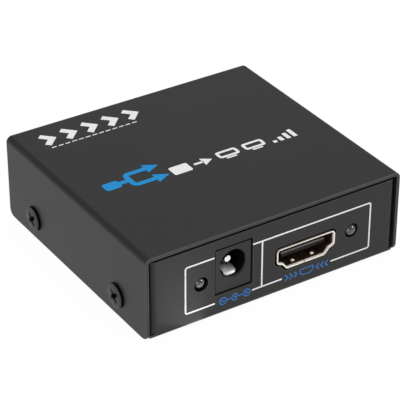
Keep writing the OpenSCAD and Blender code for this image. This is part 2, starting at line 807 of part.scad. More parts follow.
// Power jack: Y runs inwards from the housing's front
module at_jack() {
    at_front(jack_x) translate([0, jack_setback, 0]) children();
}
module terminal_strip(foot, clear, low, high) {
    translate([foot[0] - clear, foot[1] - clear, low])
        cube([foot[2] + 2 * clear, foot[3] + 2 * clear, high - low]);
}
module bore(d, from, to) {
    translate([0, from, barrel_z]) rotate([-90, 0, 0]) cylinder(d = d, h = to - from);
}
module power_jack_housing() {
    switch_room = switch_x + terminal_t + jack_part_clear;
    color("#262526")
    at_jack()
        difference() {
            union() {
                bar(jack_w, jack_front_d, jack_h);
                along_y(0, jack_len) {
                    translate([-jack_w / 2, 0]) square([jack_w, barrel_z]);
                    translate([0, barrel_z]) circle(barrel_d / 2 + barrel_wall);
                }
            }
            bore(barrel_d, -over, barrel_depth);
            translate([0, 0, barrel_z]) rotate([-90, 0, 0])
                cylinder(r1 = barrel_d / 2 + barrel_chamfer, r2 = barrel_d / 2, h = barrel_chamfer);
            bore(pin_shank_d + 2 * jack_part_clear, barrel_depth - over, jack_len + over);
            translate([0, pin_terminal_y - jack_part_clear, -over])
                bar(terminal_w + 2 * leaf_room, jack_len, barrel_z + terminal_w / 2 + leaf_room + over);
            translate([0, leaf_tip_y - leaf_room, leaf_floor])
                bar(leaf_w + 2 * leaf_room, barrel_depth - leaf_tip_y + leaf_room, barrel_z - leaf_floor);
            translate([0, barrel_depth - over, leaf_floor])
                bar(
                    leaf_w + 2 * leaf_room,
                    sleeve_foot[1] + terminal_t + jack_part_clear - barrel_depth + over,
                    leaf_root_z + leaf_t + leaf_room - leaf_floor
                );
            terminal_strip(sleeve_foot, jack_part_clear, -over, leaf_floor + over);
            translate([0, wing_y - wing_len / 2 - leaf_room, leaf_floor])
                cube([
                    switch_room,
                    wing_len + 2 * leaf_room,
                    switch_z + leaf_t + jack_part_clear - leaf_floor
                ]);
            terminal_strip(switch_foot, jack_part_clear, -over, leaf_floor + over);
        }
}
module power_jack_pin() {
    color("#c8c8c4")
    at_jack() {
        translate([0, pin_setback + pin_d / 2, barrel_z]) sphere(d = pin_d);
        bore(pin_d, pin_setback + pin_d / 2, barrel_depth);
        bore(pin_shank_d, barrel_depth - over, pin_terminal_y + terminal_t);
        terminal_strip(pin_foot, 0, foot_z, barrel_z + terminal_w / 2);
    }
}
// Sleeve leaf: springs down on its root when the plug goes in, and its wing leaves the switch terminal
module leaf_profile() {
    polygon([
        [leaf_root_y, leaf_root_z + leaf_t / 2],
        [crown_rear, leaf_crown_z],
        [crown_front, leaf_crown_z],
        [leaf_tip_y, leaf_tip_z + leaf_t / 2],
        [leaf_tip_y, leaf_tip_z - leaf_t / 2],
        [crown_front, leaf_crown_z - leaf_t],
        [crown_rear, leaf_crown_z - leaf_t],
        [leaf_root_y, leaf_root_z - leaf_t / 2]
    ]);
}
module power_jack_spring() {
    color("#c8c8c4")
    at_jack() {
        along_x(leaf_w) leaf_profile();
        translate([(leaf_w / 2 + wing_reach) / 2, 0, 0])
            along_x(leaf_w / 2 + wing_reach)
                intersection() {
                    leaf_profile();
                    translate([wing_y - wing_len / 2, 0]) square([wing_len, barrel_z]);
                }
    }
}
module power_jack_terminal() {
    color("#c8c8c4") at_jack() terminal_strip(sleeve_foot, 0, foot_z, leaf_root_z + leaf_t);
}
module power_jack_switch() {
    color("#c8c8c4")
    at_jack() {
        terminal_strip(switch_foot, 0, foot_z, switch_z + leaf_t);
        translate([leaf_w / 2 + wing_reach - wing_lap, switch_foot[1], switch_z])
            cube([wing_lap + leaf_room + terminal_t, wing_len, leaf_t]);
    }
}

// LEDs: clear lens with a dome and a flange, on two leads bent down to the board
module led() {
    color("#c9ccd0", 0.6)
    rotate([-90, 0, 0]) {
        translate([0, 0, led_d / 2]) sphere(d = led_d);
        translate([0, 0, led_d / 2]) cylinder(d = led_d, h = led_len - led_d / 2);
        translate([0, 0, led_len - led_flange_t])
            difference() {
                cylinder(d = led_flange_d, h = led_flange_t);
                translate([led_flange_d / 2 - led_flat, -led_flange_d / 2, -over])
                    cube([led_flange_d, led_flange_d, led_flange_t + 2 * over]);
            }
    }
}
module power_led() { at_power_led() led(); }
module input_led() { at_input_led() led(); }
module output_1_led() { at_output_led(output_led_x) led(); }
module output_2_led() { at_output_led(-output_led_x) led(); }
module at_leads() {
    for (s = [-1, 1]) translate([s * lead_pitch / 2, led_len + lead_run, 0]) children();
}
module led_leads() {
    color("#c8c8c4")
    at_every_led()
        at_leads()
            along_x(lead_w)
                polygon([
                    [-lead_run, -lead_w / 2],
                    [-lead_w / 2, -lead_w / 2],
                    [-lead_w / 2, -led_rise - board_t - lead_below],
                    [lead_w / 2, -led_rise - board_t - lead_below],
                    [lead_w / 2, lead_w / 2],
                    [-lead_run, lead_w / 2]
                ]);
}

// Components on the board
module on_board(at) {
    translate([at[0], at[1], board_top]) children();
}
module chip_body(w, d, t) {
    dot_r = t / 3;
    translate([-w / 2, -d / 2, chip_rise])
        difference() {
            cube([w, d, t]);
            translate([2 * dot_r, 2 * dot_r, t - chip_rise]) cylinder(r = dot_r, h = chip_rise + over);
        }
}
// Row of bent leads along one side of a chip
module lead_row(count, pitch, side, body_t) {
    root_z = chip_rise + (body_t - chip_lead_t) / 2;
    bend = side + chip_lead_shoulder;
    for (i = [0 : count - 1])
        translate([(i - (count - 1) / 2) * pitch, 0, 0])
            along_x(chip_lead_w)
                polygon([
                    [side, root_z],
                    [bend, root_z],
                    [bend, 0],
                    [bend + chip_lead_foot, 0],
                    [bend + chip_lead_foot, chip_lead_t],
                    [bend + chip_lead_t, chip_lead_t],
                    [bend + chip_lead_t, root_z + chip_lead_t],
                    [side, root_z + chip_lead_t]
                ]);
}
module splitter_chip() {
    color("#222222") on_board(chip_at) chip_body(chip_w, chip_w, chip_t);
}
module memory_chips() {
    color("#222222") for (at = memory_at) on_board(at) chip_body(memory_l, memory_w, memory_t);
}
module regulator() {
    color("#222222") on_board(regulator_at) chip_body(regulator_w, regulator_l, regulator_t);
}
module chip_leads() {
    color("silver") {
        on_board(chip_at)
            for (a = [0 : 90 : 270])
                rotate([0, 0, a]) lead_row(chip_side_leads, chip_pitch, chip_w / 2, chip_t);
        for (at = memory_at)
            on_board(at)
                for (a = [0, 180]) rotate([0, 0, a]) lead_row(4, memory_pitch, memory_w / 2, memory_t);
        on_board(regulator_at)
            for (a = [0, 180]) rotate([0, 0, a]) lead_row(3, regulator_pitch, regulator_l / 2, regulator_t);
    }
}
module power_inductor() {
    half = inductor_w / 2;
    flat = half - inductor_cut;
    color("#4a4a4c")
    on_board(inductor_at)
        linear_extrude(inductor_h)
            polygon([
                [half, -flat], [half, flat], [flat, half], [-flat, half],
                [-half, flat], [-half, -flat], [-flat, -half], [flat, -half]
            ]);
}
module capacitor_cans() {
    color("#b8babc")
    for (at = cans_at) on_board(at) translate([0, 0, can_base_h]) cylinder(d = can_d, h = can_h);
}
module capacitor_bases() {
    color("#1e1e1e")
    for (at = cans_at) on_board(at) translate([-can_d / 2, -can_d / 2, 0]) cube([can_d, can_d, can_base_h]);
}
// Row of small two-ended parts across X
module passive_row(height) {
    for (i = [0 : passive_count - 1])
        translate([(i - (passive_count - 1) / 2) * passive_pitch, -passive_l / 2, 0])
            bar(passive_w, passive_l, height);
}
module chip_capacitors() {
    color("#b99b6b")
    on_board(chip_at)
        for (s = [-1, 1]) translate([0, s * capacitor_y, 0]) passive_row(capacitor_t);
}
module chip_resistors() {
    color("#2c2c30") at_every_socket() translate([0, resistor_y, 0]) passive_row(resistor_t);
}
module crystal() {
    color("#c4c6c8")
    on_board(crystal_at)
        linear_extrude(crystal_h) {
            square([crystal_w, crystal_l - crystal_w], center = true);
            for (s = [-1, 1]) translate([0, s * (crystal_l - crystal_w) / 2]) circle(d = crystal_w);
        }
}
module surge_arrays() {
    color("#222222")
    at_every_socket()
        for (s = [-1, 1])
            translate([s * surge_pitch / 2 - surge_l / 2, surge_y - surge_w / 2, 0])
                cube([surge_l, surge_w, surge_t]);
}

top_cover();
base_tray();
cover_screws();
board_standoffs();
board_screws();
circuit_board();
input_shell();
input_insulator();
input_contacts();
output_1_shell();
output_1_insulator();
output_1_contacts();
output_2_shell();
output_2_insulator();
output_2_contacts();
power_jack_housing();
power_jack_pin();
power_jack_spring();
power_jack_terminal();
power_jack_switch();
power_led();
input_led();
output_1_led();
output_2_led();
led_leads();
splitter_chip();
chip_leads();
memory_chips();
regulator();
power_inductor();
capacitor_cans();
capacitor_bases();
chip_capacitors();
chip_resistors();
crystal();
surge_arrays();
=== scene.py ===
import math

import bmesh
import bpy
from mathutils import Matrix, Vector


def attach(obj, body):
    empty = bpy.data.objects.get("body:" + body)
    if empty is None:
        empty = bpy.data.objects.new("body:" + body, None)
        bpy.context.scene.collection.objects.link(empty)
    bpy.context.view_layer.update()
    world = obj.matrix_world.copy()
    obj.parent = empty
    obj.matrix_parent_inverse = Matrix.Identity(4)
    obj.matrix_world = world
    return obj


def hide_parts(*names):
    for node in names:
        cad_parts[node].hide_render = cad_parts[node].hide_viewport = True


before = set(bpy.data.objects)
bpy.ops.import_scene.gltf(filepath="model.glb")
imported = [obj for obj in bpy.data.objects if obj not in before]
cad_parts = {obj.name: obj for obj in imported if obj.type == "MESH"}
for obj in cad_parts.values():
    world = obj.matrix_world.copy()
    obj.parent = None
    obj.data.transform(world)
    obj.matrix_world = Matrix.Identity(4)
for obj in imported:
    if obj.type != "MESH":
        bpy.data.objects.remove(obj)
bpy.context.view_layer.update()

# BASE
# One sheet of 0.8 mm steel, punched and folded into floor, front panel and rear panel, with four ears
# turned in for the cover's screws. It is powder coated black after folding: a fine orange peel covers
# the flats, and the eased edges take a smoother coat in a far paler grey, a painted highlight on the edges.
mm = 0.001
base_ease = 0.09 * mm
merge_gap, merge_angle = 0.0005 * mm, 0.4
flat_area, flat_tilt = 20 * mm * mm, 0.002


class Wire:
    """One socket of a node tree. Sums, differences, products and comparisons of wires add Math nodes."""

    def __init__(self, tree, socket):
        self.tree = tree
        self.socket = socket

    def node(self, kind, inputs=None, out=0, **settings):
        """Adds a node, sets its settings, then its inputs by name or number, and gives one of its outputs."""
        made = self.tree.nodes.new(kind)
        for name, value in settings.items():
            setattr(made, name, value)
        for key, value in (inputs or {}).items():
            for one in value if isinstance(value, list) else [value]:
                if isinstance(one, Wire):
                    self.tree.links.new(one.socket, made.inputs[key])
                else:
                    made.inputs[key].default_value = one
        return Wire(self.tree, made.outputs[out])

    def beside(self, out):
        """Another output of the node that this wire comes from."""
        return Wire(self.tree, self.socket.node.outputs[out])

    def math(self, operation, first, second=0.0):
        return self.node("ShaderNodeMath", {0: first, 1: second}, operation=operation)

    def __add__(self, other):
        return self.math("ADD", self, other)

    def __sub__(self, other):
        return self.math("SUBTRACT", self, other)

    def __rsub__(self, other):
        return self.math("SUBTRACT", other, self)

    def __mul__(self, other):
        return self.math("MULTIPLY", self, other)

    def __gt__(self, other):
        return self.math("GREATER_THAN", self, other)

    __radd__, __rmul__ = __add__, __mul__

    def blend(self, other, share):
        """This wire for a share, and the other for the rest."""
        return self * share + other * (1.0 - share)

    def span(self, low, high):
        """Value that goes from low to high with this wire."""
        return self * (high - low) + low

    def tint(self, low, high):
        """Colour that goes from low to high with this wire."""
        return self.node("ShaderNodeMix", {0: self, 6: (*low, 1), 7: (*high, 1)}, 2, data_type="RGBA")

    def noise(self, waves, detail=2.0, stretch=(1.0, 1.0, 1.0)):
        """Noise of that many waves a metre on this wire's coordinates, drawn out where stretch is small."""
        at = self.node("ShaderNodeMapping", {"Vector": self, "Scale": stretch})
        return self.node("ShaderNodeTexNoise", {"Vector": at, "Scale": waves, "Detail": detail})

    def relief(self, depth, strength):
        """Normal of a surface whose height is this wire times depth."""
        return self.node("ShaderNodeBump", {"Strength": strength, "Distance": depth, "Height": self})

    def into(self, shader, name):
        self.tree.links.new(self.socket, shader.inputs[name])


def finish(name, constants):
    """New material: its shader with the constant sockets set, and the wire of Object coordinates."""
    made = bpy.data.materials.new(name)
    made.use_nodes = True
    shader = made.node_tree.nodes["Principled BSDF"]
    for socket, value in constants.items():
        shader.inputs[socket].default_value = value
    place = made.node_tree.nodes.new("ShaderNodeTexCoord")
    return made, shader, Wire(made.node_tree, place.outputs["Object"])


def powder_coat(name, dark, light, smooth, rough):
    """Film of baked powder: cloudy in tone, with a grain that also breaks up its gloss."""
    made, shader, at = finish(name, {"Specular IOR Level": 0.3})
    cloud = at.noise(waves=55.0, detail=3.0)
    grain = at.noise(waves=2600.0)
    peel = at.noise(waves=900.0)
    cloud.blend(grain, share=0.6).tint(dark, light).into(shader, "Base Color")
    grain.span(smooth, rough).into(shader, "Roughness")
    grain.blend(peel, share=0.7).relief(depth=0.012 * mm, strength=0.5).into(shader, "Normal")
    return made


case_paint = powder_coat("case_paint", dark=(0.0160, 0.0153, 0.0151), light=(0.0228, 0.0219, 0.0215),
                         smooth=0.4, rough=0.5)
# The eased edges take a far paler grey than the flats: a painted highlight where the edges catch the light.
case_edge_highlight = powder_coat("case_edge_highlight", dark=(0.062, 0.061, 0.060), light=(0.082, 0.081, 0.080),
                        smooth=0.3, rough=0.4)


def show(piece):
    bpy.context.scene.collection.objects.link(piece)
    return piece


def settle(piece):
    """Applies the piece's modifiers to its mesh."""
    now = bpy.context.evaluated_depsgraph_get()
    mesh = bpy.data.meshes.new_from_object(piece.evaluated_get(now), depsgraph=now)
    piece.modifiers.clear()
    piece.data = mesh
    return piece


def eased(node, name, ease, materials, steps=2, limit=40):
    """Copy of a CAD node with its triangles merged into faces and its sharp edges eased to a small radius.

    The corners of its large flats are set back on their planes, so that the flats stay even in the light.
    """
    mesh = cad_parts[node].data.copy()
    mesh.materials.clear()
    for material in materials:
        mesh.materials.append(material)
    work = bmesh.new()
    work.from_mesh(mesh)
    for face in work.faces:
        face.material_index = 0
        face.smooth = True
    bmesh.ops.remove_doubles(work, verts=work.verts, dist=merge_gap)
    bmesh.ops.dissolve_limit(work, angle_limit=math.radians(merge_angle), verts=work.verts, edges=work.edges)
    work.to_mesh(mesh)
    work.free()
    piece = show(bpy.data.objects.new(name, mesh))
    bevel = piece.modifiers.new("ease", "BEVEL")
    bevel.width = ease
    bevel.segments = steps
    bevel.limit_method = "ANGLE"
    bevel.angle_limit = math.radians(limit)
    bevel.use_clamp_overlap = False
    bevel.material = len(materials) - 1
    settle(piece)
    for face in piece.data.polygons:
        axis = Vector([round(c) for c in face.normal])
        if face.area > flat_area and (face.normal - axis).length < flat_tilt:
            corners = [piece.data.vertices[i] for i in face.vertices]
            plane = sorted(c.co.dot(axis) for c in corners)[len(corners) // 2]
            for c in corners:
                c.co += axis * (plane - c.co.dot(axis))
    level = piece.modifiers.new("level", "WEIGHTED_NORMAL")
    level.mode = "FACE_AREA"
    level.weight = 100
    return settle(piece)


def fit(piece, slot, *nodes, body="case"):
    """The piece rides on a body and stands for CAD nodes, which it hides. The slot is not used."""
    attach(piece, body)
    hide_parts(*nodes)


base = eased("base_tray", "base", base_ease, [case_paint, case_edge_highlight])
fit(base, "case_paint", "base_tray")

# STANDOFFS
# Four turned steel standoffs, zinc plated, with a hexagon clinched flush in the floor and a thread right
# through for the board's screws.
standoff_ease = 0.06 * mm


def plated(name, dark, light, smooth, rough, grain=(1.0, 1.0, 1.0), metallic=1.0):
    """Bright plated metal with faint lines of the tool, drawn out where grain is small."""
    made, shader, at = finish(name, {"Metallic": metallic})
    lines = at.noise(waves=3000.0, detail=3.0, stretch=grain)
    at.noise(waves=240.0).blend(lines, share=0.7).tint(dark, light).into(shader, "Base Color")
    lines.span(smooth, rough).into(shader, "Roughness")
    lines.relief(depth=0.004 * mm, strength=0.35).into(shader, "Normal")
    return made


bright_zinc = plated("bright_zinc", (0.52, 0.53, 0.54), (0.68, 0.69, 0.71), smooth=0.24, rough=0.4)
standoffs = eased("board_standoffs", "standoffs", standoff_ease, [bright_zinc])
fit(standoffs, "plated_steel", "board_standoffs")

# CIRCUIT BOARD
# Two layers of copper on glass epoxy under a green solder mask, 1.6 mm thick. The tracks show through the
# mask as slightly raised, paler lines.
track_pitch, track_gap, track_depth = 0.45 * mm, 0.26 * mm, 0.035 * mm
patches, patch_share, bare_share = 160.0, 0.5, 0.46


def dress(node, material):
    """Gives a CAD node its finish."""
    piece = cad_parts[node]
    if not piece.material_slots:
        piece.data.materials.append(material)
    for slot in piece.material_slots:
        slot.material = material


def solder_mask():
    made, shader, at = finish("board_mask", {"Coat Roughness": 0.12})
    along = at.node("ShaderNodeSeparateXYZ", {0: at})
    across = along.beside(1)
    cells = {"Vector": at, "Scale": patches}
    patch = at.node("ShaderNodeTexVoronoi", cells, "Color", distance="CHEBYCHEV")
    upright = patch > patch_share
    run = along * upright + across * (1.0 - upright)
    track = (run.math("PINGPONG", run, track_pitch) > track_gap) * (at.noise(waves=130.0) > bare_share)
    track.tint((0.010, 0.075, 0.028), (0.022, 0.135, 0.05)).into(shader, "Base Color")
    at.noise(waves=1800.0).span(0.28, 0.4).into(shader, "Roughness")
    weave = at.noise(waves=2500.0)
    track.blend(weave, share=0.9).relief(track_depth, strength=0.6).into(shader, "Normal")
    return made


dress("circuit_board", solder_mask())

# BOARD COMPONENTS
# Moulded chips on tinned leads, a shielded inductor, aluminium can capacitors on their plastic bases, a
# quartz crystal in its steel case, and small ceramic parts, all soldered by reflow.


def moulded(name, dark, light, smooth, rough, grain, depth, level=0.5):
    """Filled plastic with the fine texture of its mould, of grain waves a metre."""
    made, shader, at = finish(name, {"Specular IOR Level": level})
    speck = at.noise(grain)
    speck.blend(at.noise(grain / 12), share=0.5).tint(dark, light).into(shader, "Base Color")
    speck.span(smooth, rough).into(shader, "Roughness")
    speck.relief(depth, strength=0.5).into(shader, "Normal")
    return made


chip_epoxy = moulded("chip_epoxy", (0.012, 0.012, 0.013), (0.024, 0.024, 0.025), 0.42, 0.62,
                     5200.0, 0.01 * mm)
ferrite = moulded("ferrite", (0.035, 0.034, 0.036), (0.07, 0.068, 0.07), 0.5, 0.75, 3800.0, 0.03 * mm)
can_base = moulded("can_base", (0.010, 0.010, 0.010), (0.018, 0.018, 0.018), 0.4, 0.55, 3000.0, 0.008 * mm)
ceramic = moulded("ceramic", (0.30, 0.20, 0.10), (0.42, 0.30, 0.17), 0.35, 0.5, 2600.0, 0.006 * mm)
resistor_glaze = moulded("resistor_glaze", (0.012, 0.012, 0.015), (0.03, 0.03, 0.035), 0.2, 0.4,
                         2600.0, 0.006 * mm)
lead_tin = plated("lead_tin", (0.55, 0.55, 0.54), (0.72, 0.72, 0.70), smooth=0.28, rough=0.45)
drawn_lines = (1.0, 1.0, 0.06)
can_aluminium = plated("can_aluminium", (0.62, 0.63, 0.64), (0.78, 0.79, 0.80), 0.2, 0.36, drawn_lines)
for chip in ("splitter_chip", "memory_chips", "regulator", "surge_arrays"):
    dress(chip, chip_epoxy)
dress("chip_leads", lead_tin)
dress("led_leads", lead_tin)
dress("power_inductor", ferrite)
dress("capacitor_cans", can_aluminium)
dress("crystal", can_aluminium)
dress("capacitor_bases", can_base)
dress("chip_capacitors", ceramic)
dress("chip_resistors", resistor_glaze)

# VIDEO SOCKETS
# Each has a shell folded from 0.3 mm sheet with a flared lip, a seam along its floor and four spring fingers
# that grip the plug, gold flashed over nickel. A moulded tongue carries nineteen gold contacts.
panel_y, board_z = 29.3, 5.4
plug_w, plug_h, plug_floor_w = 14.1, 4.55, 9.5
shoulder_w, shoulder_low, shoulder_high = 11.5, 1.25, 1.75
socket_corner_r, tightest_r = 0.45, 0.06
shell_t, shell_len, shell_crease, weld_gap = 0.3, 11.4, 38, 0.00001
lip_flare, lip_d, unshaded_lip_depth, lip_steps = 0.2, 0.4, 0.55, (0.14, 0.3, 0.5, 0.75, 1.0)
mouth_y, opening_z = -0.2, 0.65
seam_x, seam_gap = -0.35, 0.2
finger_x, finger_w, finger_t, finger_slit = 2.5, 1.2, 0.26, 0.25
finger_tip, finger_root, finger_hold, finger_rise = 1.25, 6.0, 0.4, 0.2
finger_slope, finger_nose = [(4.8, 0.06), (3.6, 0.13), (2.8, 0.18)], [(1.38, 0.14), (finger_tip, 0.02)]
crest_start, crest_step, crest_count = 2.6, 0.1, 12
finger_narrowing = (0.06, 0.2)
dimple_y, dimple_r, dimple_h = 1.95, 0.5, 0.26
leg_x, leg_t, leg_half, leg_top, leg_foot, leg_point = 7.2, 0.15, 0.5, 2.2, -2.4, 0.28
legs_y = (3.4, 9.4)
tongue_t, tongue_lift, tongue_ease, chamfer_tilt = 1.4, 0.1, 0.05 * mm, 0.3
tongue_z = opening_z + plug_h / 2 + tongue_lift - tongue_t / 2
contact_w, contact_t, contact_pitch, contact_count = 0.35, 0.2, 1.0, 10
contact_start, contact_proud = 2.5, 0.06
contact_bend = [(11.5, 0.0), (11.72, -0.06), (11.85, -0.25)]
contact_foot = [(11.85, 0.35), (11.95, 0.16), (12.15, 0.1), (12.85, 0.1)]
input_x, output_x = 7.65, 11.6
drawn_in = (1.0, 0.08, 1.0)
finger_plate = plated("finger_plate", (0.93, 0.86, 0.70), (0.98, 0.94, 0.82), 0.2, 0.34, drawn_in)
contact_gold = plated("contact_gold", (0.80, 0.56, 0.20), (0.92, 0.70, 0.32), 0.14, 0.26, drawn_in)
socket_resin = moulded("socket_resin", (0.006, 0.005, 0.004), (0.012, 0.010, 0.008), 0.34, 0.5,
                       4200.0, 0.006 * mm, level=0.12)
# The tongue's front chamfer takes a far paler grey than the resin: a painted highlight on that edge.
tongue_chamfer_highlight = moulded("tongue_chamfer_highlight", (0.10, 0.092, 0.085), (0.15, 0.138, 0.128), 0.3, 0.44,
                      4200.0, 0.006 * mm)


def gold_flash():
    """Pale plating on the lip; further in, its colour is darkened to a dark bronze as painted shade inside
    the shell.
    """
    made, shader, at = finish("socket_plate", {})
    lines = at.noise(waves=3000.0, detail=3.0, stretch=drawn_in)
    inwards = at.node("ShaderNodeSeparateXYZ", {0: at}, 1)
    # Past the lip the plating's colour goes dark: painted shade inside the shell.
    lip = inwards.math("ABSOLUTE", inwards) > (panel_y - mouth_y - unshaded_lip_depth) * mm
    bright = lip * lines.span(0.92, 1.0)
    bright.tint((0.05, 0.027, 0.016), (0.99, 0.945, 0.835)).into(shader, "Base Color")
    lip.span(0.3, 0.35).into(shader, "Metallic")
    lines.span(0.22, 0.36).into(shader, "Roughness")
    return made


socket_plate = gold_flash()


def loft(work, rings, closed=False):
    """Skin over rings of points with the same count, with end faces unless the last ring meets the first."""
    loops = [[work.verts.new(p) for p in ring] for ring in rings]
    for a, b in zip(loops, loops[1:] + (loops[:1] if closed else [])):
        for i in range(len(a)):
            j = (i + 1) % len(a)
            work.faces.new((a[i], a[j], b[j], b[i]))
    if not closed:
        work.faces.new(loops[0][::-1])
        work.faces.new(loops[-1])


def piece_of(work, name, materials, sharp=35, place=None):
    """Object of a shape drawn in millimetres, with its faces turned outwards and its sharp edges kept."""
    bmesh.ops.recalc_face_normals(work, faces=work.faces)
    work.transform(Matrix.Scale(mm, 4) @ (place or Matrix.Identity(4)))
    mesh = bpy.data.meshes.new(name)
    work.to_mesh(mesh)
    work.free()
    for material in materials:
        mesh.materials.append(material)
    mesh.shade_smooth()
    mesh.set_sharp_from_angle(angle=math.radians(sharp))
    return show(bpy.data.objects.new(name, mesh))


def corner(a, p, b, radius, steps):
    """Points of the arc that rounds corner p between its neighbours a and b."""
    u = (a - p).normalized()
    v = (b - p).normalized()
    half = u.angle(v) / 2
    middle = p + (u + v).normalized() * (radius / math.sin(half))
    first = p + u * radius / math.tan(half) - middle
    last = p + v * radius / math.tan(half) - middle
    turn = math.atan2(first.x * last.y - first.y * last.x, first.dot(last))
    start = math.atan2(first.y, first.x)
    angles = [start + turn * k / steps for k in range(steps + 1)]
    return [middle + radius * Vector((math.cos(t), math.sin(t))) for t in angles]


def socket_outline(d, steps=6):
    """The plug opening's outline grown by d: two cut lower corners, every corner rounded."""
    half = [(plug_floor_w / 2, 0), (shoulder_w / 2, shoulder_low)]
    half += [(plug_w / 2, shoulder_high), (plug_w / 2, plug_h)]
    points = [Vector(p) for p in half] + [Vector((-x, z)) for x, z in half[::-1]]
    ring = []
    for i, p in enumerate(points):
        m = (p - points[i - 1]).normalized()
        n = (points[(i + 1) % len(points)] - p).normalized()
        grow = Vector((m.y, -m.x)) + Vector((n.y, -n.x))
        ring.append(p + grow * (d / (1 + m.dot(n))))
    outline = []
    for i, p in enumerate(ring):
        before = ring[i - 1]
        after = ring[(i + 1) % len(ring)]
        outer = (p - before).cross(after - p) > 0
        outline += corner(before, p, after, max(socket_corner_r + (d if outer else -d), tightest_r), steps)
    return outline


def stroke(work, points, width, low, high, place, closed=False):
    """Bar along a flat line of points, with its width in the line's plane, from low to high across it."""
    sections = []
    for i, p in enumerate(points):
        ways = []
        if closed or i > 0:
            ways.append((p - points[i - 1]).normalized())
        if closed or i < len(points) - 1:
            ways.append((points[(i + 1) % len(points)] - p).normalized())
        side = sum((Vector((-w.y, w.x)) for w in (ways[0], ways[-1])), Vector((0, 0)))
        side *= width / side.length_squared
        a = p + side
        b = p - side
        sections.append([place(*a, low), place(*b, low), place(*b, high), place(*a, high)])
    loft(work, sections, closed)


def strip(work, path, halves, thick, bulge, place, steps=10):
    """Springy strip along a path of its upper face, with a half width at each point and a pressed bulge."""
    rings = []
    for i, (p, half) in enumerate(zip(path, halves)):
        way = (path[min(i + 1, len(path) - 1)] - path[max(i - 1, 0)]).normalized()
        up = Vector((way.y, -way.x)) if way.x < 0 else Vector((-way.y, way.x))
        across = [half * (2 * k / steps - 1) for k in range(steps + 1)]
        face = [(x, p + up * bulge(x, p.x)) for x in across]
        rings.append([place(x, *q) for x, q in face] + [place(x, *(q - up * thick)) for x, q in face[::-1]])
    loft(work, rings)


def dimple(x, y):
    """Height of the round dimple pressed up near a finger's tip."""
    return dimple_h * math.sqrt(max(0, 1 - (x * x + (y - dimple_y) ** 2) / dimple_r ** 2))


def finger_line():
    """The finger's upper face from root to tip: it rises to the dimple and turns back down past it."""
    root = [(finger_root + finger_hold, 0.0), (finger_root, 0.0)]
    crest = [(crest_start - crest_step * k, finger_rise) for k in range(crest_count)]
    return [Vector(p) for p in root + finger_slope + crest + finger_nose]


def shell_cuts(name):
    """The windows round the spring fingers, and the seam."""
    work = bmesh.new()
    window_d = finger_root - finger_tip + finger_slit
    window_y = mouth_y + finger_root - window_d / 2
    window = Matrix.Diagonal((finger_w + 2 * finger_slit, window_d, 4 * shell_t, 1))
    for x in (-finger_x, finger_x):
        for z in (-shell_t / 2, plug_h + shell_t / 2):
            place = Matrix.Translation((x, window_y, opening_z + z)) @ window
            bmesh.ops.create_cube(work, size=1, matrix=place)
    seam = Matrix.Diagonal((seam_gap, 2 * shell_len, 4 * shell_t, 1))
    place = Matrix.Translation((seam_x, 0, opening_z - shell_t)) @ seam
    bmesh.ops.create_cube(work, size=1, matrix=place)
    return piece_of(work, name, [socket_plate])


def socket_shell(name, place):
    """Shell drawn with Y inwards from the panel's face and Z up from the board."""
    work = bmesh.new()
    depths = [lip_d * share for share in lip_steps]
    flare = [lip_flare * (1 - y / lip_d) ** 2 for y in depths]
    inside = list(zip(flare, depths))
    profile = [(0, shell_len)] + inside[::-1] + [(lip_flare + shell_t / 2, 0)]
    profile += [(f + shell_t, y) for f, y in inside] + [(shell_t, shell_len)]
    loft(work, [[(p.x, mouth_y + y, opening_z + p.y) for p in socket_outline(d)] for d, y in profile], True)
    shell = piece_of(work, name, [socket_plate])
    cuts = shell_cuts(name + "_cuts")
    cut = shell.modifiers.new("cut", "BOOLEAN")
    cut.operation = "DIFFERENCE"
    cut.solver = "EXACT"
    cut.object = cuts
    settle(shell)
    work = bmesh.new()
    work.from_mesh(shell.data)
    work.transform(Matrix.Scale(1 / mm, 4))
    for unwanted in (shell, cuts):
        bpy.data.objects.remove(unwanted)
    shell_faces = len(work.faces)
    path = finger_line()
    full = len(path) - len(finger_narrowing)
    halves = [finger_w / 2] * full + [finger_w / 2 - less for less in finger_narrowing]
    for x in (-finger_x, finger_x):
        for foot, way in ((0, 1), (plug_h, -1)):
            strip(work, path, halves, finger_t, dimple,
                  lambda h, u, v, x=x, foot=foot, way=way: (x + h, mouth_y + u, opening_z + foot + way * v))
    work.faces.ensure_lookup_table()
    for face in work.faces[shell_faces:]:
        face.material_index = 1
    outline = [(leg_top, leg_half), (leg_foot + leg_point, leg_half), (leg_foot, leg_point)]
    outline += [(z, -y) for z, y in outline[::-1]]
    for x in (-leg_x, leg_x):
        for y in legs_y:
            loft(work, [[(x + t, mouth_y + y + p, z) for z, p in outline] for t in (-leg_t, leg_t)])
    bmesh.ops.remove_doubles(work, verts=work.verts, dist=weld_gap)
    return piece_of(work, name, [socket_plate, finger_plate], shell_crease, place)


def front_place(x):
    return Matrix.Translation((x, -panel_y, board_z))


def rear_place(x):
    return Matrix.Rotation(math.pi, 4, "Z") @ Matrix.Translation((-x, -panel_y, board_z))


def rule(name, inputs):
    """New geometry tree with named inputs, and their wires."""
    tree = bpy.data.node_groups.new(name, "GeometryNodeTree")
    for label, kind in inputs.items():
        tree.interface.new_socket(label, in_out="INPUT", socket_type="NodeSocket" + kind)
    tree.interface.new_socket("Geometry", in_out="OUTPUT", socket_type="NodeSocketGeometry")
    entry = tree.nodes.new("NodeGroupInput")
    return tree, [Wire(tree, entry.outputs[label]) for label in inputs]


def end_rule(tree, shape, material):
    real = shape.node("GeometryNodeRealizeInstances", {"Geometry": shape})
    done = real.node("GeometryNodeSetMaterial", {"Geometry": real, "Material": material})
    tree.links.new(done.socket, tree.nodes.new("NodeGroupOutput").inputs["Geometry"])


